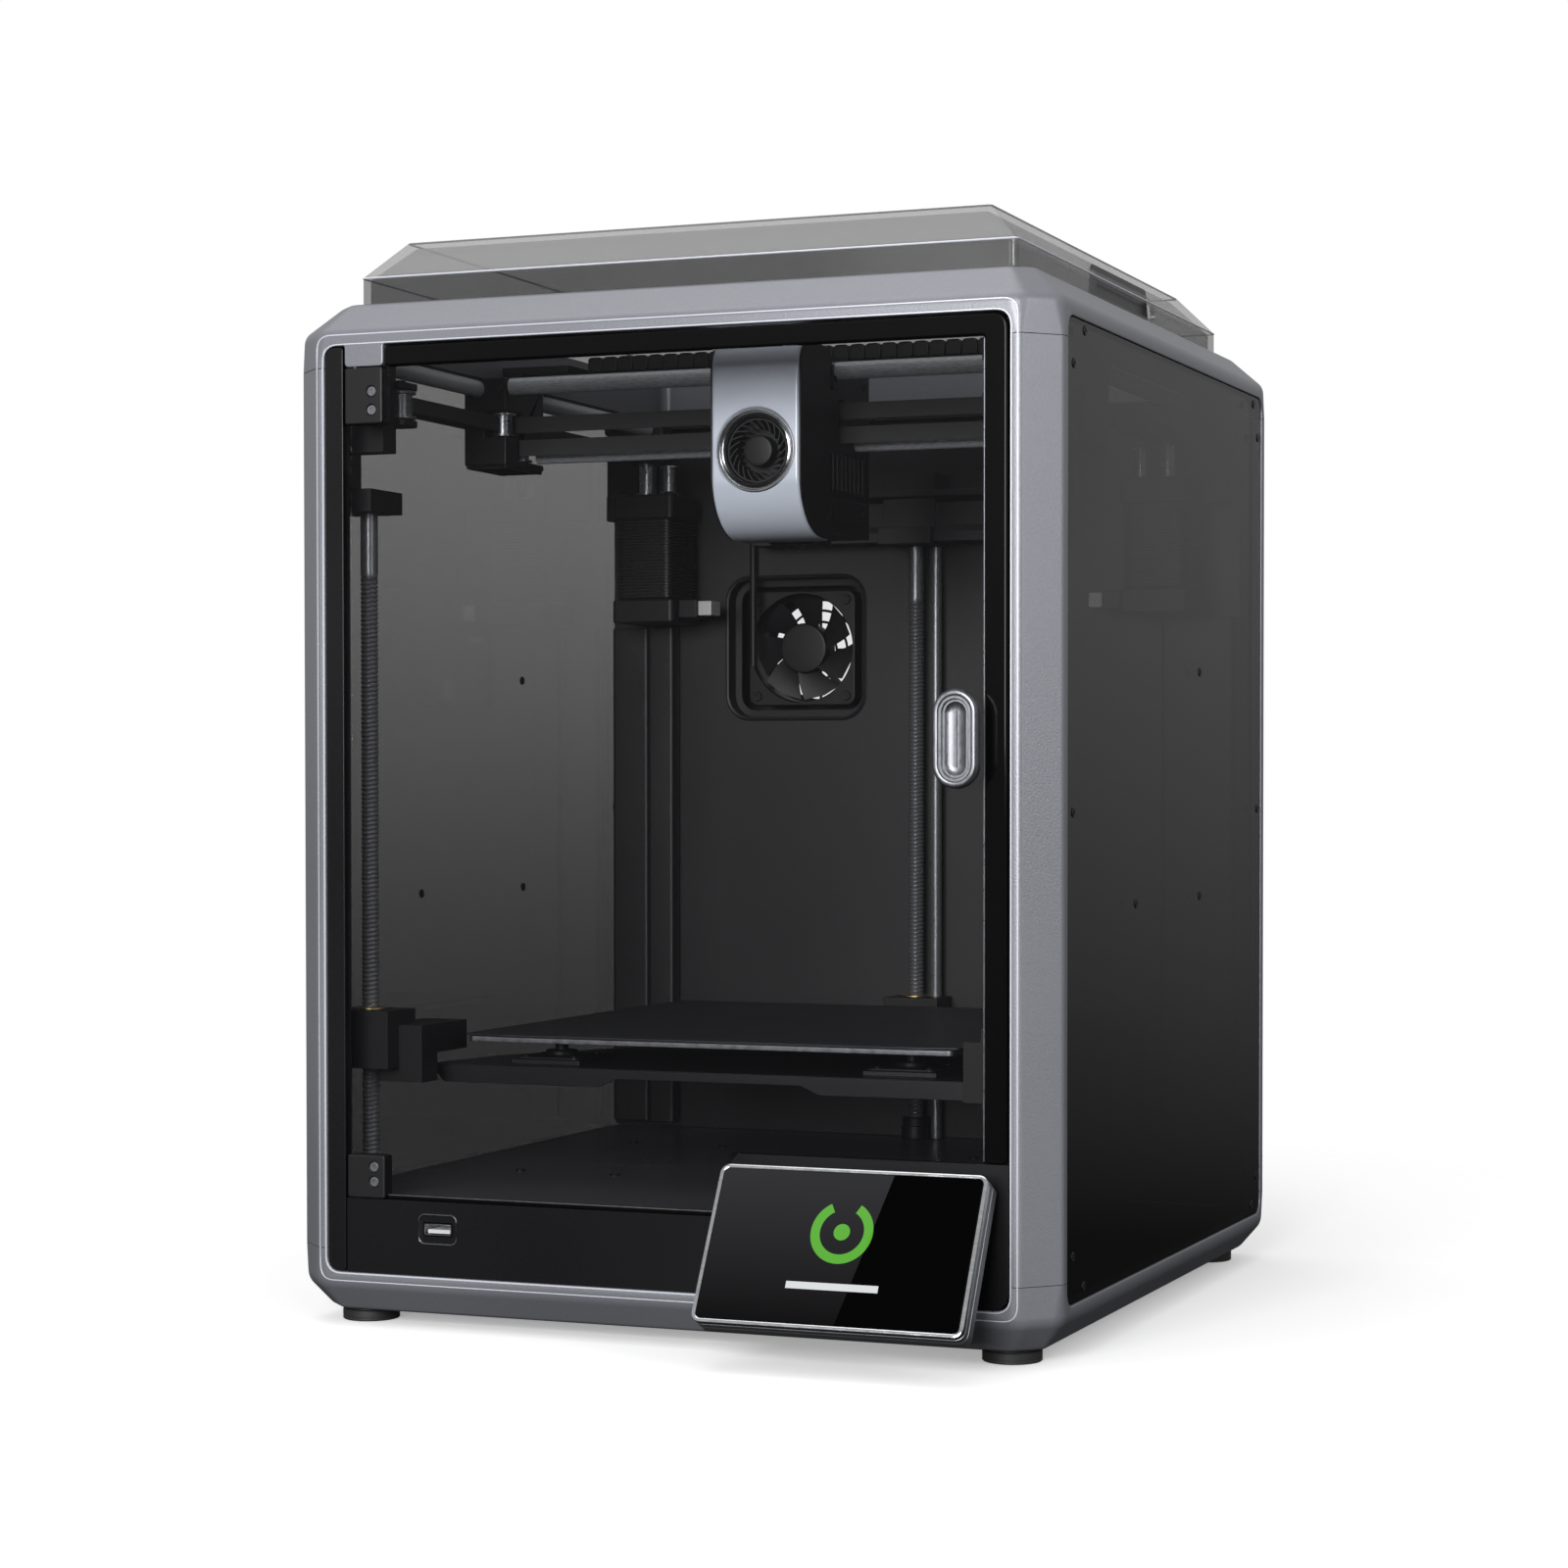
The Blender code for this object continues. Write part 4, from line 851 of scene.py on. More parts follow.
def threaded(x, y, low, high, radius, pitch=2.0, depth=0.55, sides=20):
    """A threaded rod: radius R - d(1 + cos(2 pi (z / pitch - turn))) / 2 over height and turn."""
    z = np.arange(low, high, pitch / 5)
    turn = np.arange(sides) * 2 * math.pi / sides
    wave = 0.5 + 0.5 * np.cos(2 * math.pi * z[:, None] / pitch - turn[None, :])
    fade = np.clip(np.minimum(z - low, high - z) / 1.5, 0, 1)[:, None]
    r = radius - depth * wave * fade
    rings = np.stack([x + r * np.cos(turn), y + r * np.sin(turn), np.broadcast_to(z[:, None], r.shape)], 2)
    return skin(rings)


def build_screws():
    """Three lead screws, threaded up to the smooth end that turns in the top bearing."""
    for word, (x, y) in SCREWS.items():
        _, _, _, _, low, high = span(f"lead_screw_{word}")
        ends = [turned([(0, high - 0.1), (3.3, high - 0.1), (3.9, high - 0.8), (3.9, 333), (3.5, 331), (0, 331)],
                       (x, y, 0), "Z", 24),
                threaded(x, y, 46, 331.2, 4.0),
                turned([(0, low), (3.6, low), (3.9, low + 0.4), (3.9, 33.4), (5.3, 33.6), (5.3, 34.2), (4.4, 34.4),
                        (4.4, 41.6), (5.3, 41.8), (5.3, 42.6), (3.9, 42.8), (3.9, 46.2), (0, 46.2)], (x, y, 0),
                       "Z", 24)]
        piece(f"threaded_screw_{word}", ends, "dark_steel", f"screw_{word}", [f"lead_screw_{word}"])
    for word, (x, y, radius) in RODS.items():
        low, high = span(f"guide_rod_{word}")[4:]
        rod = turned([(0, low), (radius - 0.4, low), (radius, low + 0.4), (radius, high - 0.4),
                      (radius - 0.4, high), (0, high)], (x, y, 0), "Z", 32)
        piece(f"ground_rod_{word}", [rod], "dark_steel", "base", [f"guide_rod_{word}"])
        cx, cy = SCREWS[word]
        hole = 4.3
        collar = skin([lift(circle(cx, cy, r, 32), z, "Z") for r, z in
                       ((hole, 57.05), (7.2, 57.05), (7.6, 57.5), (7.6, 63.5), (6.9, 64.0), (6.9, 67.6), (6.5, 68.0),
                        (hole, 68.0))], wrap=True)
        piece(f"bearing_collar_{word}", [collar, cap_screw((cx + 6.6, cy, 65.8), "X", 1, 0.9, 0.5)], "satin_black",
              "base")


def build_base_internals():
    """Finishes for the motor and the supply under the floor."""
    softened("z_motor", "satin_black", 0.8, 3)
    softened("power_supply", "bright", 0.8, 2)


def build_brackets():
    """Corner brackets with their front idlers, the rear rail and the nut brackets."""
    for side, word in ((-1, "left"), (1, "right")):
        softened(f"corner_bracket_{word}", "satin_black", 0.9, 3)
        x = side * 141.5
        idler = turned([(0, 401.6), (6.6, 401.6), (6.8, 401.9), (6.8, 402.8), (5.2, 403.0), (5.2, 412.6), (6.8, 412.8),
                        (6.8, 413.7), (6.6, 414), (0, 414)], (x, -140.0, 0), "Z", 36)
        arm = [block(*sorted((x - 6, x + 6)), -147.5, -133.5, 414.4, 417.6, 3, 0.6),
               block(*sorted((x - 6, x + 6)), -147.5, -133.5, 398.0, 401.2, 3, 0.6)]
        piece(f"front_idler_{word}", [idler], "dark_steel", "base")
        piece(f"idler_arm_{word}", [*arm, cap_screw((x, -140, 417.5), "Z", 1, 2.4, 1.4)], "satin_black", "base")
    softened("rear_rail", "powder_black", 0.5, 2)
    for word in ("left", "right", "rear"):
        softened(f"nut_bracket_{word}", "satin_black", 0.9, 3)
    for word, (x, y) in SCREWS.items():
        top = span(f"nut_bracket_{word.replace('front_', '')}")[5]
        nut = skin([lift(circle(x, y, r, 32), z, "Z") for r, z in
                    ((4.35, top + 0.02), (8.6, top + 0.02), (8.8, top + 0.15), (8.8, top + 0.5), (8.5, top + 0.7),
                     (5.6, top + 0.75), (5.4, top + 0.9), (4.35, top + 0.9))], wrap=True)
        piece(f"screw_nut_{word}", [nut], "brass", "bed")


def build_bed():
    """Tray with folded lip and ribs, mount posts with springy pads, heater and build plate."""
    softened("bed_tray", "bed_black", 0.5, 2)
    pads = []
    top = span("heater_plate")[4]
    for x, y in ((-85.5, -93.0), (85.5, -93.0), (0.0, 88.0)):
        pads += [slab(plate_outline(x - 16, x + 16, y - 16, y + 16, 3), 114.05, 115.0, "Z", 0.3, 2),
                 turned([(3.2, 115), (7.0, 115.05), (7.4, 115.5), (7.4, 117.0), (6.6, 117.6), (3.2, 117.6)],
                        (x, y, 0), "Z", 28),
                 turned([(3.2, top - 2.2), (5.2, top - 2.2), (5.6, top - 1.6), (5.6, top - 0.1), (3.2, top - 0.1)],
                        (x, y, 0), "Z", 24)]
        pads += [cap_screw((x + dx, y + dy, 114.9), "Z", 1, 1.5, 0.8) for dx in (-12, 12) for dy in (-12, 12)]
    piece("mount_pads", pads, "satin_black", "bed")
    x0, x1, y0, y1, z0, z1 = span("heater_plate")
    piece("heater_slab", [slab(plate_outline(x0, x1, y0, y1, 3), z0, z1, "Z", 0.35, 2)], "heater_metal", "bed",
          ["heater_plate"])
    x0, x1, y0, y1, z0, z1 = span("build_plate")
    sheet = bend([(x0, y0 + 4), (x0 + 20, y0), (x1 - 20, y0), (x1, y0 + 4), (x1, y1), (x0, y1)],
                 [2, 3, 3, 2, 3, 3], 4)
    piece("spring_sheet", [slab(sheet, z0, z1, "Z", 0.2, 2)], "plate_coat", "build_plate", ["build_plate"])


# ---------------------------------------------------------------- gantry

def toothed_run(x0, x1, y, z0, z1, pitch=2.0, tooth=0.75, back=0.7):
    """A toothed belt along X: its plan outline is a straight back and a square wave of teeth."""
    count = int((x1 - x0) / pitch)
    start = x0 + (x1 - x0 - count * pitch) / 2 + np.arange(count) * pitch
    wave = np.stack([np.stack([start, start + 0.5, start + 0.7, start + 1.3, start + 1.5], 1),
                     np.tile([0.0, 0.0, tooth, tooth, 0.0], (count, 1)) + y + back / 2], 2).reshape(-1, 2)
    outline = np.vstack([wave, [(x1, y + back / 2), (x1, y - back / 2), (x0, y - back / 2), (x0, y + back / 2)]])
    return stack(outline[::-1], [(z0, 0), (z1, 0)], "Z")


def idler(x, y, z0, z1, radius):
    """A flanged belt wheel between two heights."""
    return turned([(0, z0), (radius, z0), (radius + 0.1, z0 + 0.9), (radius - 1.6, z0 + 1.1),
                   (radius - 1.6, z1 - 1.1), (radius + 0.1, z1 - 0.9), (radius, z1), (0, z1)], (x, y, 0), "Z", 36)


def build_gantry():
    """Blocks with their idlers, ground rods, and the toothed belts across."""
    for side, word in ((-1, "left"), (1, "right")):
        softened(f"gantry_block_{word}", "satin_black", 0.9, 3)
        _, _, y0, y1, z0, z1 = span(f"gantry_block_{word}")
        wheel_x = side * 135.5
        wheels = [idler(wheel_x, -53, 402.4, 413.1, 5.6), idler(wheel_x, -36, 391.9, 401.2, 5.6)]
        piece(f"gantry_wheels_{word}", wheels, "bright", "gantry")
        heads = [cap_screw((side * 133.6, y0, 424.0), "Y", -1, 1.6, 0.7),
                 cap_screw((side * 149.8, y0, 393.5), "Y", -1, 1.6, 0.7),
                 cap_screw((side * 135.5, -53, z1), "Z", 1, 2.4, 0.5),
                 cap_screw((side * 135.5, -36, z1), "Z", 1, 2.4, 0.5)]
        ribs = [block(*sorted((side * 132.5, side * 150.8)), y0 + 3 + 6.4 * k, y0 + 4.2 + 6.4 * k, z0 - 1.4, z0 + 0.3,
                      0.4, 0.3) for k in range(6)]
        rims = [block(*sorted((side * 131.2, side * 132.6)), y0 + 1, y1 - 1, z0 - 1.4, z0 + 0.3, 0.4, 0.3),
                block(*sorted((side * 150.8, side * 152.2)), y0 + 1, y1 - 1, z0 - 1.4, z0 + 0.3, 0.4, 0.3)]
        piece(f"gantry_trim_{word}", [*heads, *ribs, *rims], "satin_black", "gantry")
        a0, a1, b0, b1, c0, c1 = span(f"y_rod_{word}")
        rod = turned([(0, b0), (3.5, b0), (4, b0 + 0.5), (4, b1 - 0.5), (3.5, b1), (0, b1)],
                     ((a0 + a1) / 2, 0, (c0 + c1) / 2), "Y", 36)
        piece(f"ground_y_rod_{word}", [rod], "steel", "base", [f"y_rod_{word}"])
        plug = turned([(0, b0 - 1.0), (3.7, b0 - 1.0), (4.1, b0 - 0.7), (4.1, b0 - 0.02), (0, b0 - 0.02)],
                      ((a0 + a1) / 2, 0, (c0 + c1) / 2), "Y", 36)
        piece(f"y_rod_plug_{word}", [plug], "satin_black", "base")
    for word in ("upper", "lower"):
        a0, a1, b0, b1, c0, c1 = span(f"x_rod_{word}")
        radius = (c1 - c0) / 2
        rod = turned([(0, a0), (radius, a0), (radius, a1), (0, a1)], (0, (b0 + b1) / 2, (c0 + c1) / 2), "X", 36)
        piece(f"ground_x_rod_{word}", [rod], "steel", "gantry", [f"x_rod_{word}"])
        a0, a1, b0, b1, c0, c1 = span(f"drive_belt_{word}")
        belt = toothed_run(a0, a1, (b0 + b1) / 2, c0, c1)
        piece(f"toothed_belt_{word}", [belt], "belt_rubber", "gantry", [f"drive_belt_{word}"])


def build_side_belts():
    """The belts' runs along both sides, from the front idlers to the motor pulleys."""
    runs = []
    for side in (-1, 1):
        for x, z0, z1 in ((side * 135.9, 404.6, 411.2), (side * 147.0, 404.6, 411.2)):
            path = [(x, y, (z0 + z1) / 2) for y in np.linspace(-139, 118, 24)]
            runs.append(ribbon(path, (z1 - z0) / 2, 1.0))
    piece("side_belts", runs, "belt_rubber", "base")


MOTOR_INNER, MOTOR_OUTER = 119.5, 155.0     # a belt motor's two sides, from the cabinet's middle


def build_motors():
    """Two belt motors with cooling fins, end plates, pulleys and plugs."""
    for side, word in ((-1, "left"), (1, "right")):
        _, _, y0, y1, _, _ = span(f"xy_motor_{word}")
        a, b = sorted((side * MOTOR_INNER, side * MOTOR_OUTER))
        outline = plate_outline(a, b, y0, y1, 3)
        lower = slab(outline, 322.0, 334.0, "Z", 1.0, 3)
        fins = np.arange(335.0, 374.5, 1.6)
        rows = [(334.0, 1.4)]
        for z in fins:
            rows += [(z, 2.4), (z + 0.2, 1.2), (z + 0.8, 1.2), (z + 1.0, 2.4)]
        body = stack(plate_outline(a, b, y0, y1, 6), [*rows, (375.5, 2.4)], "Z")
        upper = slab(outline, 375.5, 388.3, "Z", 1.0, 3)
        holder = block(*sorted((side * 136.5, side * 169.6)), 127.3, y1 - 0.3, 388.2, 429.2, 2, 0.8)
        shelf = block(*sorted((side * 150.0, side * 169.6)), 127.3, y1 - 0.3, 377.0, 390.0, 1, 0.6)
        heads = [cap_screw((x, y, 388.2), "Z", 1, 2.2, 1.4) for x in (a + 4.5, b - 4.5) for y in (y0 + 4.5,)]
        piece(f"belt_motor_{word}", [lower, body, upper, holder, shelf, *heads], "satin_black", "base",
              [f"xy_motor_{word}"])
        pulley = idler(side * 141, 118, 389, 409.6, 6.0)
        roller = idler(side * 127.5, 116, 389, 403.5, 5.0)
        piece(f"motor_pulley_{word}", [pulley, roller], "bright", "base")
        plug = [block(*sorted((side * 101.8, side * 109.6)), y0 + 8, y0 + 20, 325.6, 333.0, 0.6, 0.4),
                block(*sorted((side * 109.0, side * 119.6)), y0 + 6, y0 + 22, 324.4, 333.8, 0.8, 0.5)]
        piece(f"motor_plug_{word}", plug[:1], "white_plastic", "base")
        piece(f"motor_socket_{word}", plug[1:], "satin_black", "base")


def build_chain():
    """Cable chain behind the head: a run of open links held by an arm at each end."""
    link, height, half = 8.0, 7.6, 7.0
    middle_y, low_z = 4.0, 441.0
    links = []

    def one(centre):
        """One link: two rounded side cheeks joined by a bridge at the top and one at the bottom."""
        parts = [block(-link / 2, link / 2 - 0.5, -half, -half + 1.4, -height / 2, height / 2, 1.6, 0.4, "Y", 2),
                 block(-link / 2, link / 2 - 0.5, half - 1.4, half, -height / 2, height / 2, 1.6, 0.4, "Y", 2),
                 block(-link / 4, link / 4, -half, half, height / 2 - 1.2, height / 2, 0.4, 0.3, "X", 2),
                 block(-link / 4, link / 4, -half, half, -height / 2, -height / 2 + 1.2, 0.4, 0.3, "X", 2)]
        links.extend((points + centre, faces) for points, faces in parts)

    for x in np.arange(-112, 118, link):
        one((x, middle_y, low_z))
    piece("cable_chain", links, "satin_black", "gantry")
    arms = []
    for side in (-1, 1):
        arms += [block(*sorted((side * 110, side * 149)), -36, middle_y + half + 0.5, 433.2, 437.1, 1, 0.4),
                 block(*sorted((side * 135, side * 149)), -36, -24, 429.3, 434.0, 1, 0.4)]
    piece("chain_arms", arms, "satin_black", "gantry")


# ---------------------------------------------------------------- print head

HEAD = span("head_cover")
FAN_Z = 386.3       # height of the head fan's middle


def build_head():
    """Carriage body, bright curved front cover, fan ring and bladed rotor, and the nozzle."""
    x0, x1, y0, y1, z0, z1 = HEAD
    middle = (x0 + x1) / 2
    tight, wide = 12.0, 27.0
    quarter = np.linspace(0, math.pi / 2, 10)

    def side(inset):
        """The cover's side outline: flat front, a tight bend to the top and a wide one to the bottom."""
        a, b = tight - inset, wide - inset
        top = np.stack([y0 + tight - a * np.sin(quarter), z1 - tight + a * np.cos(quarter)], 1)
        low = np.stack([y0 + wide - b * np.cos(quarter), z0 + wide - b * np.sin(quarter)], 1)
        return np.vstack([[(y1, z1 - inset)], top, low, [(y1, z0 + inset)]])

    edge = [(x0, 1.5), (x0 + 0.12, 0.95), (x0 + 0.45, 0.45), (x0 + 0.95, 0.12), (x0 + 1.5, 0.0)]
    rows = [*edge, *[(x0 + x1 - x, inset) for x, inset in edge[::-1]]]
    cover = skin([lift(side(inset), x, "X") for x, inset in rows])
    hollow = skin([lift(side(2.0) + (3.0, 0), x, "X") for x in (x0 + 2, x1 - 2)])
    bore = turned([(20.2, -4), (19.5, -0.2), (19.1, 0.25), (18.8, 0.6), (18.62, 1.4), (18.62, 8)],
                  (middle, y0, FAN_Z), "Y", 64)
    settle("head_front", carved("head_front", [cover], [hollow, bore]), "head_paint", "head", ["head_cover"])
    ring = skin([lift(circle(middle, FAN_Z, r, 64), y0 + t, "Y") for r, t in
                 ((15.2, 6.0), (15.2, 1.3), (15.5, 0.7), (16.0, 0.5), (16.6, 0.7), (16.9, 1.2), (17.3, 1.2),
                  (17.3, 0.5), (17.6, 0.15), (18.3, 0.15), (18.6, 0.5), (18.6, 6.0))], wrap=True)
    piece("head_fan_ring", [ring], "chrome", "head")
    cheeks = [slab(side(0.7), *limits, "X", 0.35, 2) for limits in ((x0 - 0.75, x0 + 0.1), (x1 - 0.1, x1 + 0.75))]
    piece("head_cheeks", cheeks, "satin_black", "head")
    well = skin([lift(circle(middle, FAN_Z, r, 48), y0 + t, "Y") for r, t in
                 ((15.15, 2.2), (15.15, 12.6), (14.2, 13.0), (0.01, 13.0), (0.01, 12.6), (14.0, 12.5), (14.9, 12.0),
                  (14.9, 2.2))], wrap=True)
    piece("head_fan_well", [well], "satin_black", "head")
    hub = turned([(0, 3.2), (5.6, 3.2), (6.6, 3.5), (7.0, 4.2), (7.0, 10.8), (13.6, 10.9), (13.8, 11.4),
                  (13.4, 11.8), (0, 11.8)], (middle, y0, FAN_Z), "Y", 48)
    blades = []
    for k in range(21):
        r = np.linspace(9.6, 13.9, 6)
        turn = 2 * math.pi * k / 21 + (r - 9.6) * 0.095
        wide_turn = 0.035
        quad = [(-wide_turn, 3.4), (wide_turn, 3.4), (wide_turn, 11.2), (-wide_turn, 11.2)]
        blades.append(skin(np.stack([np.stack([middle + r * np.cos(turn + a), np.full(len(r), y0 + t),
                                               FAN_Z + r * np.sin(turn + a)], 1) for a, t in quad], 1)))
    rim = skin([lift(circle(middle, FAN_Z, r, 48), y0 + t, "Y") for r, t in
                ((13.5, 3.2), (14.3, 3.2), (14.3, 4.2), (13.5, 4.2))], wrap=True)
    piece("head_fan_wheel", [hub, rim, *blades], "satin_black", "head_fan", ["head_fan_rotor"])
    softened("head_body", "satin_black", 1.0, 3)
    b0, b1, c0, c1, _, _ = span("head_body")
    ridges = [block(b1 - 0.3, b1 + 1.6, c0 + 4 + 5.2 * k, c0 + 6.6 + 5.2 * k, 371, 388, 0.8, 0.5, "X") for k in
              range(8)]
    ridges += [block(b1 - 0.3, b1 + 1.2, c0 + 3, c1 - 5, 357, 368, 2.0, 0.8, "X"),
               block(b1 - 0.3, b1 + 1.4, c0 + 3, c0 + 12, 416, 428, 2.0, 0.8, "X"),
               block(b0 - 1.2, b0 + 0.3, c0 + 3, c1 - 5, 357, 368, 2.0, 0.8, "X")]
    duct = [stack(plate_outline(middle - 12, middle + 12, c0 + 2, -34, 4), [(347.2, 2.5), (348.4, 0.8),
                                                                          (352.5, 0.0)], "Z")]
    screws = [cap_screw((b1 + 1.2, c0 + 7.5, 422), "X", 1, 2.0, 0.9),
              cap_screw((b1 + 0.0, c1 - 6, 422), "X", 1, 2.0, 0.9),
              cap_screw((b1 + 1.0, c1 - 11, 362), "X", 1, 1.8, 0.8)]
    piece("head_side_details", [*ridges, *duct, *screws], "satin_black", "head")
    nozzle_y, tip = -48.2, span("hot_end")[4]
    nozzle = turned([(0, tip), (0.55, tip), (0.75, tip + 0.25), (2.6, tip + 2.0), (3.4, tip + 2.2), (3.4, tip + 4.4),
                     (6.3, 349.6), (6.5, 349.9), (6.5, 351.4), (0, 351.4)], (middle, nozzle_y, 0), "Z", 28)
    piece("nozzle", [nozzle], "brass", "head", ["hot_end"])


# ---------------------------------------------------------------- rear

def build_chamber_fan():
    """Exhaust fan: rounded frame with a round duct and four screws, and a rotor of seven curved blades."""
    x0, x1, y0, y1, z0, z1 = span("chamber_fan_frame")
    x, z = (x0 + x1) / 2, (z0 + z1) / 2
    body = carved("fan_housing", [slab(plate_outline(x0, x1, z0, z1, 5), y0, y1, "Y", 0.8)],
                  [turned([(29.0, -1), (28.6, 0.4), (28.0, 1.6), (28.0, 13.4), (28.6, 14.6), (29, 16)],
                          (x, y0, z), "Y", 64)])
    settle("fan_housing", body, "satin_black", "base", ["chamber_fan_frame"])
    arms = [ribbon([(x + r * math.cos(a), y1 - 1.6, z + r * math.sin(a)) for r in (10, 19, 28.4)], 1.6, 2.2,
                   side=(-math.sin(a), 0, math.cos(a))) for a in np.radians((40, 130, 220, 310))]
    plate = turned([(0, 11.5), (12.5, 11.5), (12.9, 11.9), (12.9, 14.6), (12.5, 15), (0, 15)], (x, y0, z), "Y", 40)
    heads = [cap_screw((x + dx, y0, z + dz), "Y", -1, 2.6, 1.0) for dx in (-25, 25) for dz in (-25, 25)]
    piece("fan_stator", [*arms, plate, *heads], "satin_black", "base")
    hub = turned([(0, 1.6), (11.5, 1.6), (12.6, 2.0), (13.2, 3.0), (13.2, 10.8), (0, 10.8)], (x, y0, z), "Y", 40)
    blades = []
    r = np.linspace(12.8, 26.8, 9)
    for k in range(7):
        lead = 2 * math.pi * k / 7 + 0.018 * (r - 12.8)
        rows = []
        for a, t in ((0.0, 2.2), (0.36, 4.3), (0.72, 7.4), (0.76, 8.0), (0.39, 5.0), (0.02, 3.0)):
            turn = lead + a
            rows.append(np.stack([x + r * np.cos(turn), np.full(len(r), y0 + t), z + r * np.sin(turn)], 1))
        blades.append(skin(np.stack(rows, 1)))
    piece("fan_wheel", [hub, *blades], "satin_black", "chamber_fan", ["chamber_fan_rotor"])
    wall = span("chamber_back_wall")[2]
    ring = plate_outline(x - 38.0, x + 38.0, z - 36.3, z + 36.3, 12, 8)
    tray = skin([lift(drawn_in(ring, i), wall + d, "Y") for i, d in
                 ((-1.6, -0.5), (-0.8, -0.9), (0.1, -0.6), (0.3, 0.4), (0.5, 7.6), (4.0, 7.8), (4.0, 8.0),
                  (0.1, 8.0), (-0.0, 2.4), (-1.6, -0.1))], wrap=True)
    piece("fan_recess_rim", [tray], "satin_black", "base")


def build_rear_details():
    """Fan guard, vent slots, inlet and switch details, and the covers inside the back wall."""
    fx0, fx1, _, _, fz0, fz1 = span("chamber_fan_frame")
    x, z = (fx0 + fx1) / 2, (fz0 + fz1) / 2
    face = span("rear_panel")[3]
    turn = np.arange(56) * 2 * math.pi / 56
    rings = [tube(np.stack([x + r * np.cos(turn), np.full(56, face - 1.1), z + r * np.sin(turn)], 1), 0.7, 8,
                  wrap=True) for r in (9, 15, 21, 26.6)]
    spokes = [tube([(x + r * math.cos(a), face - 1.1, z + r * math.sin(a)) for r in (8.8, 18, 27.4)], 0.8, 8)
              for a in np.radians((0, 90, 180, 270))]
    piece("fan_guard", [*rings, *spokes], "satin_black", "base")
    places = [(-150, 415), (150, 415), (-150, 227), (150, 227), (-150, 40), (150, 40), (0, 415), (0, 40)]
    heads = [cap_screw((px, face - 0.1, pz), "Y", 1, 2.2, 0.8) for px, pz in places]
    piece("rear_panel_screws", heads, "satin_black", "base")
    slots = [slab(slot_outline(-92 + 8.0 * k, 92, 2.6, 26, 6), face - 0.05, face + 0.35, "Y", 0.15, 2)
             for k in range(12)]
    piece("vent_louvres", slots, "gloss_black", "base")
    softened("power_inlet", "satin_black", 0.5, 2)
    softened("power_switch", "gloss_black", 0.35, 2)
    px, pz = 118.0, 58.0
    pins = [block(px + dx - 1, px + dx + 1, 162, 172, pz + dz - 2, pz + dz + 2, 0.4, 0.3, "Y")
            for dx, dz in ((-6.5, -1.6), (6.5, -1.6), (0, 2.2))]
    piece("inlet_pins", pins, "brass", "base")
    wall = span("chamber_back_wall")[2]
    covers = [block(-169.5, -148.5, wall - 6.0, wall - 0.1, 60, 321, 2, 0.8),
              block(-147.5, -132.5, wall - 9.0, wall - 0.1, 60, 321, 2, 0.8),
              block(132.5, 169.5, wall - 6.0, wall - 0.1, 60, 321, 2, 0.8)]
    piece("wiring_covers", covers, "powder_black", "base")
    path = bend([(-89.4, wall - 2.5, 300), (-89.4, wall - 2.5, 352), (-89.4, wall - 2.5, 383), (-84, wall - 10, 424),
                 (-60, wall - 30, 433)], [1, 12, 12, 10, 1], 6, closed=False)
    piece("feed_tube", [tube(path[:14], 1.9, 12)], "satin_black", "base")


# ---------------------------------------------------------------- stage

def area_light(name, place, aim, size, power, colour=(1, 1, 1)):
    """A soft rectangular light turned towards a point, all in metres."""
    data = bpy.data.lights.new(name, "AREA")
    data.shape, data.size, data.size_y, data.energy, data.color = "RECTANGLE", size[0], size[1], power, colour
    lamp = bpy.data.objects.new(name, data)
    bpy.context.scene.collection.objects.link(lamp)
    lamp.location = place
    lamp.rotation_euler = (Vector(aim) - Vector(place)).to_track_quat("-Z", "Y").to_euler()
    return lamp


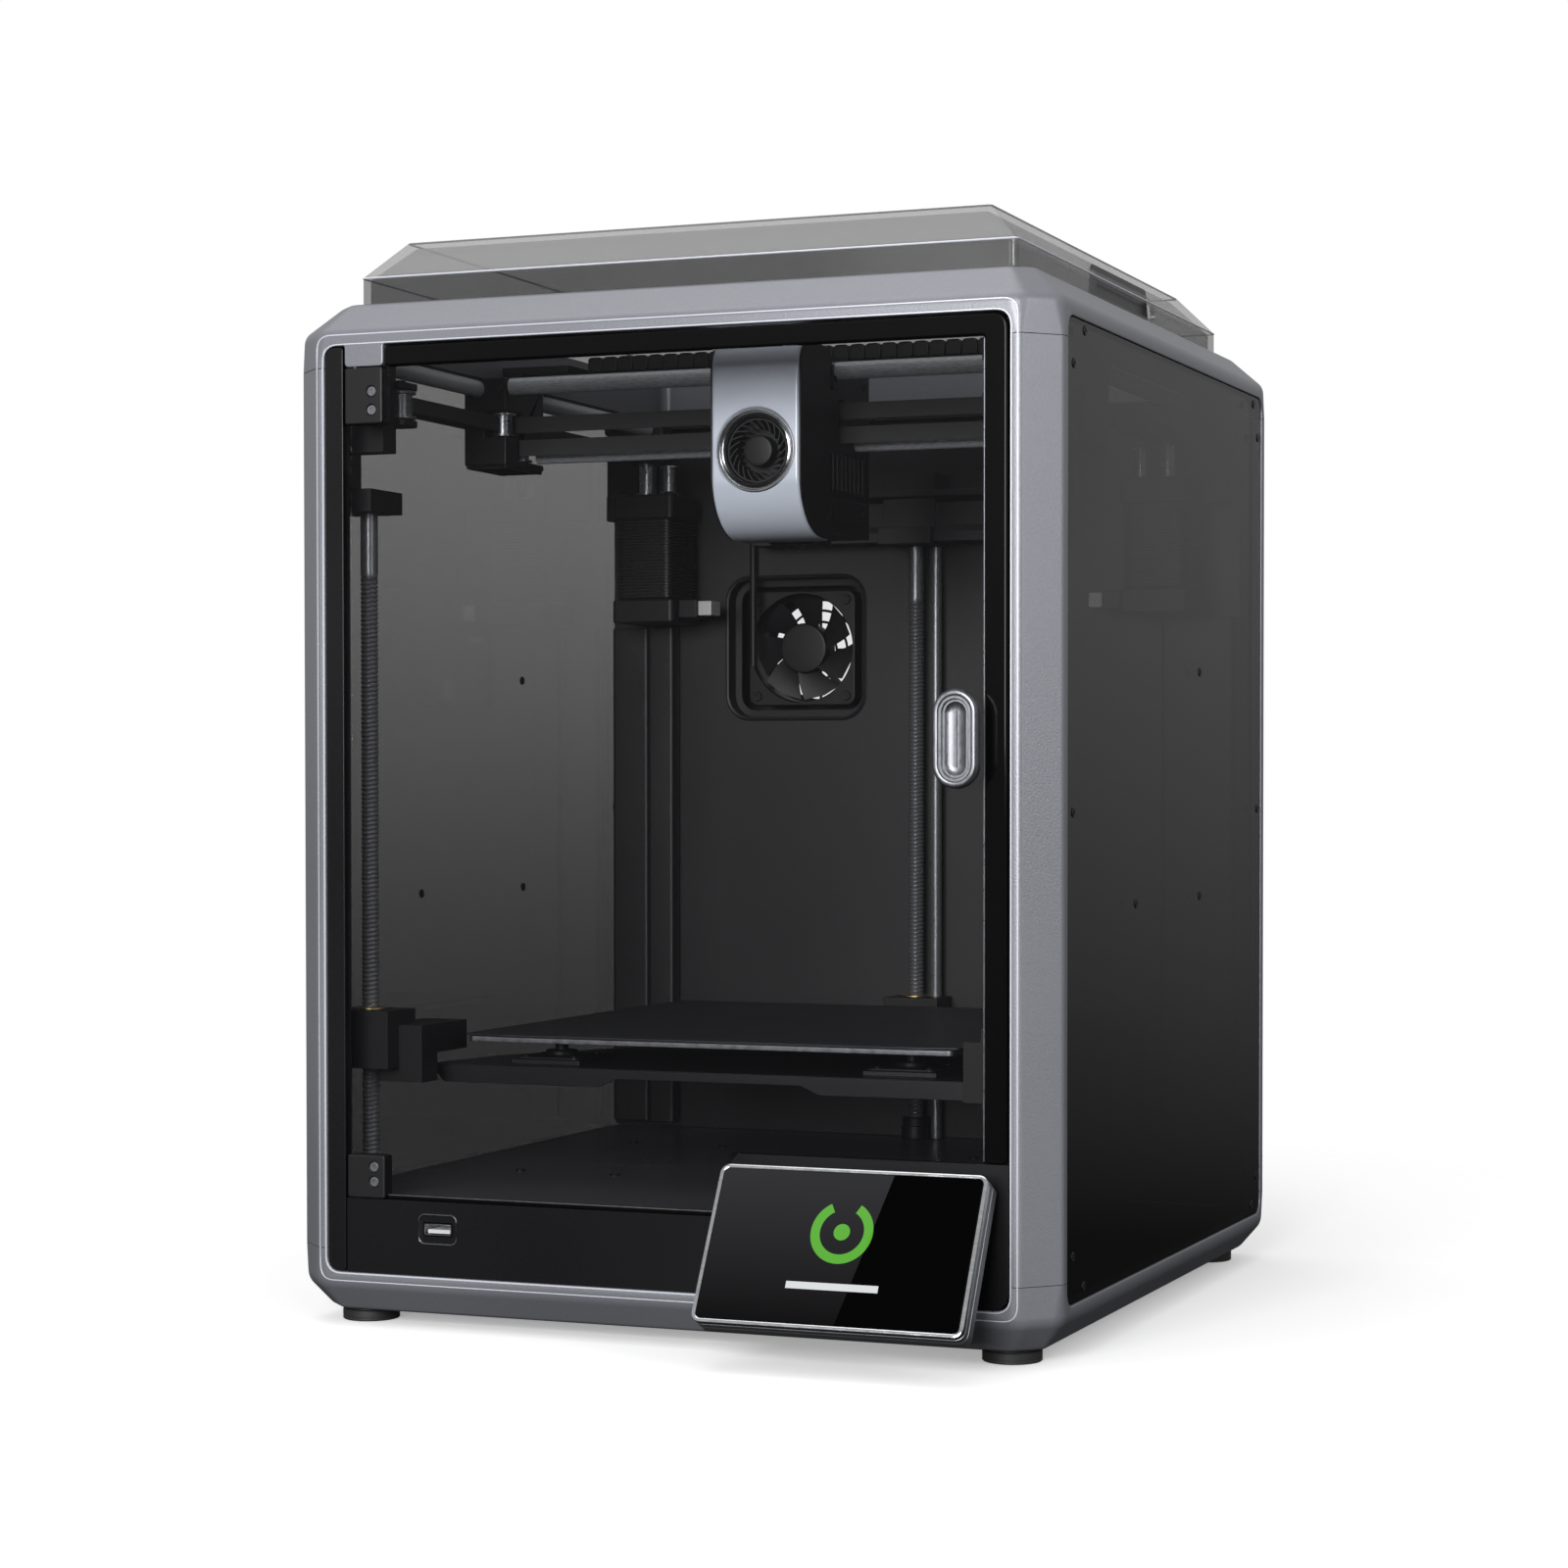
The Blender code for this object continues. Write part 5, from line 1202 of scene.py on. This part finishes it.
def build_stage():
    """Pale floor, soft light, white surround and the camera."""
    sizes = bpy.context.scene.printer_stage
    mesh = bpy.data.meshes.new("floor")
    mesh.from_pydata([(*point, 0) for point in circle(0, 0, 1.2, 64)], [], [list(range(64))])
    floor = bpy.data.objects.new("floor", mesh)
    bpy.context.scene.collection.objects.link(floor)
    paper = grained("floor_paper", (0.93, 0.93, 0.93), 0.9, grain=60.0, relief=0.0, spread=0.01, specular=0.0)
    made = Nodes.of(paper)
    far = made.add("ShaderNodeVectorMath", {0: made.place()}, operation="LENGTH").outputs["Value"]
    made.feed("Alpha", made.add("ShaderNodeMapRange", {0: far, 1: 0.32, 2: 0.75, 3: 1.0, 4: 0.0},
                                interpolation_type="SMOOTHSTEP").outputs[0])
    made.shader.inputs["Emission Color"].default_value = (1, 1, 1, 1)
    made.shader.inputs["Emission Strength"].default_value = sizes.floor_glow
    mesh.materials.append(paper)
    floor.visible_glossy = False
    floor.visible_diffuse = False
    scene = bpy.context.scene
    scene.view_settings.view_transform = "Standard"
    world = bpy.data.worlds.new("studio")
    scene.world = world
    world.use_nodes = True
    tree = world.node_tree
    back = tree.nodes["Background"]
    ray = tree.nodes.new("ShaderNodeLightPath")
    mix = tree.nodes.new("ShaderNodeMix")
    mix.data_type = "FLOAT"
    tree.links.new(ray.outputs["Is Camera Ray"], mix.inputs[0])
    up = tree.nodes.new("ShaderNodeSeparateXYZ")
    climb = tree.nodes.new("ShaderNodeMapRange")
    tree.links.new(tree.nodes.new("ShaderNodeTexCoord").outputs["Generated"], up.inputs[0])
    tree.links.new(up.outputs[2], climb.inputs[0])
    for socket, value in ((1, -0.14), (2, 0.16), (3, 0.02), (4, sizes.surround_light)):
        climb.inputs[socket].default_value = value
    tree.links.new(climb.outputs[0], mix.inputs[2])
    mix.inputs[3].default_value = 1.0
    tree.links.new(mix.outputs[0], back.inputs["Strength"])
    back.inputs["Color"].default_value = (1, 1, 1, 1)
    area_light("key_front", (0.15, -2.4, 0.72), (0, 0, 0.28), (1.2, 0.9), sizes.key_power)
    area_light("top_sheet", (-0.25, -0.15, 1.9), (0, 0, 0.3), (1.5, 1.3), sizes.top_power)
    area_light("edge_right", (1.9, -1.0, 0.9), (0, 0, 0.25), (0.6, 1.4), sizes.edge_power)
    data = bpy.data.cameras.new("camera")
    camera = bpy.data.objects.new("camera", data)
    scene.collection.objects.link(camera)
    camera.location = (0.578834, -1.41555 + SHIFT * MM, 0.23948)
    camera.rotation_euler = (math.radians(90 - 1.2646), 0, math.radians(20.817))
    data.sensor_width = 36
    data.lens = 3295.263 * 36 / 1600
    data.shift_x = (800 - 910.906) / 1600
    data.shift_y = (870.815 - 800) / 1600
    scene.camera = camera


# ---------------------------------------------------------------- add-on

class PrinterLook(PropertyGroup):
    """Colours and clearness of the finishes."""
    frame_paint: FloatVectorProperty(name="Frame Paint", description="Colour of the frame's metallic paint",
                                     subtype="COLOR", size=3, default=(0.215, 0.22, 0.245))
    sheet_paint: FloatVectorProperty(name="Sheet Paint", description="Colour of the powder-coated sheets",
                                     subtype="COLOR", size=3, default=(0.010, 0.010, 0.0115))
    plastic_black: FloatVectorProperty(name="Black Plastic", description="Colour of the satin black mouldings",
                                       subtype="COLOR", size=3, default=(0.008, 0.008, 0.009))
    head_paint: FloatVectorProperty(name="Head Paint", description="Colour of the print head's front",
                                    subtype="COLOR", size=3, default=(0.80, 0.86, 0.98))
    # less clearness low down darkens the side panels towards the bottom: painted shade
    panel_clear_low: FloatProperty(name="Panel Clearness Low", description="Light let through near the bottom",
                                   subtype="FACTOR", default=0.17, min=0, max=1)
    panel_clear_high: FloatProperty(name="Panel Clearness High", description="Light let through near the top",
                                    subtype="FACTOR", default=0.42, min=0, max=1)
    lid_clear: FloatProperty(name="Lid Clearness", description="Light let through by one wall of the lid",
                             subtype="FACTOR", default=0.5, min=0, max=1)
    door_clear: FloatProperty(name="Door Clearness", description="Light let through by one face of the door",
                              subtype="FACTOR", default=0.88, min=0, max=1)


class PrinterStage(PropertyGroup):
    """Strengths of the studio light."""
    key_power: FloatProperty(name="Key Light", description="Power of the large light at the front",
                             subtype="POWER", unit="POWER", default=56.0, min=0)
    top_power: FloatProperty(name="Top Light", description="Power of the sheet overhead",
                             subtype="POWER", unit="POWER", default=8.0, min=0)
    edge_power: FloatProperty(name="Edge Light", description="Power of the strip at the right",
                              subtype="POWER", unit="POWER", default=9.0, min=0)
    floor_glow: FloatProperty(name="Floor Glow", description="Light the pale floor adds to itself",
                              subtype="FACTOR", default=0.32, min=0)
    surround_light: FloatProperty(name="Surround", description="Brightness of the room",
                                  subtype="FACTOR", default=0.46, min=0)


def make_operator(key, label, note, builder):
    """An operator class that runs one builder; an error in it stops the script."""
    def execute(self, context):
        """Runs the builder."""
        builder()
        return {"FINISHED"}
    return type(f"PRINTER_OT_{key}", (Operator,), {"bl_idname": f"printer.{key}", "bl_label": label,
                                                   "__doc__": note, "execute": execute})


STEPS = [
    ("stage", "Stage", "Floor, lights and camera", build_stage),
    ("cabinet", "Cabinet Frame", "Top, posts and base of the frame", build_cabinet),
    ("panels", "Panels", "Side, rear and inner panels with their screws", build_panels),
    ("front", "Front Trims", "Strip beside the door and the lower bezel", build_front),
    ("port", "USB Port", "USB shell and tongue", build_port),
    ("display", "Display", "Tilted display", build_display),
    ("feet", "Feet", "Four round feet", build_feet),
    ("door", "Door", "Pane and printed border", build_door),
    ("hinges", "Hinges", "Two hinge blocks", build_hinges),
    ("handle", "Handle", "Pull handle", build_handle),
    ("lid", "Lid", "Smoked lid", build_lid),
    ("screws", "Lead Screws", "Screws, guide rods and collars", build_screws),
    ("base_internals", "Under The Floor", "Motor and supply", build_base_internals),
    ("brackets", "Brackets", "Corner, rail and nut brackets", build_brackets),
    ("bed", "Bed", "Tray, mounts, heater and build plate", build_bed),
    ("gantry", "Gantry", "Blocks, rods and belts", build_gantry),
    ("side_belts", "Side Belts", "Belt runs along the sides", build_side_belts),
    ("motors", "Belt Motors", "Motors, pulleys and plugs", build_motors),
    ("chain", "Cable Chain", "Cable chain and the arms that hold it", build_chain),
    ("head", "Print Head", "Body, cover, fan and nozzle", build_head),
    ("chamber_fan", "Chamber Fan", "Exhaust fan", build_chamber_fan),
    ("rear_details", "Rear Details", "Guard, vents, inlet and covers", build_rear_details),
]
OPERATORS = [make_operator(*step) for step in STEPS]


class PRINTER_PT_looks(Panel):
    """Lists the finishes and the pieces in the sidebar."""
    bl_label = "Printer"
    bl_space_type = "VIEW_3D"
    bl_region_type = "UI"
    bl_category = "Printer"

    def draw(self, context):
        """Draws the settings, then one button for each piece."""
        for group in (context.scene.printer_look, context.scene.printer_stage):
            for name in group.__annotations__:
                self.layout.prop(group, name)
        for operator in OPERATORS:
            self.layout.operator(operator.bl_idname)


CLASSES = [PrinterLook, PrinterStage, *OPERATORS, PRINTER_PT_looks]


def register():
    """Adds the classes and the settings."""
    for item in CLASSES:
        bpy.utils.register_class(item)
    bpy.types.Scene.printer_look = PointerProperty(type=PrinterLook)
    bpy.types.Scene.printer_stage = PointerProperty(type=PrinterStage)


def unregister():
    """Takes the settings and the classes away."""
    del bpy.types.Scene.printer_stage
    del bpy.types.Scene.printer_look
    for item in reversed(CLASSES):
        bpy.utils.unregister_class(item)


def main():
    """Builds everything in order and writes the CAD box and the visual box."""
    register()
    for operator in OPERATORS:
        getattr(bpy.ops.printer, operator.bl_idname.split(".")[1])()
    bpy.context.view_layer.update()


if __name__ == "__main__":
    main()
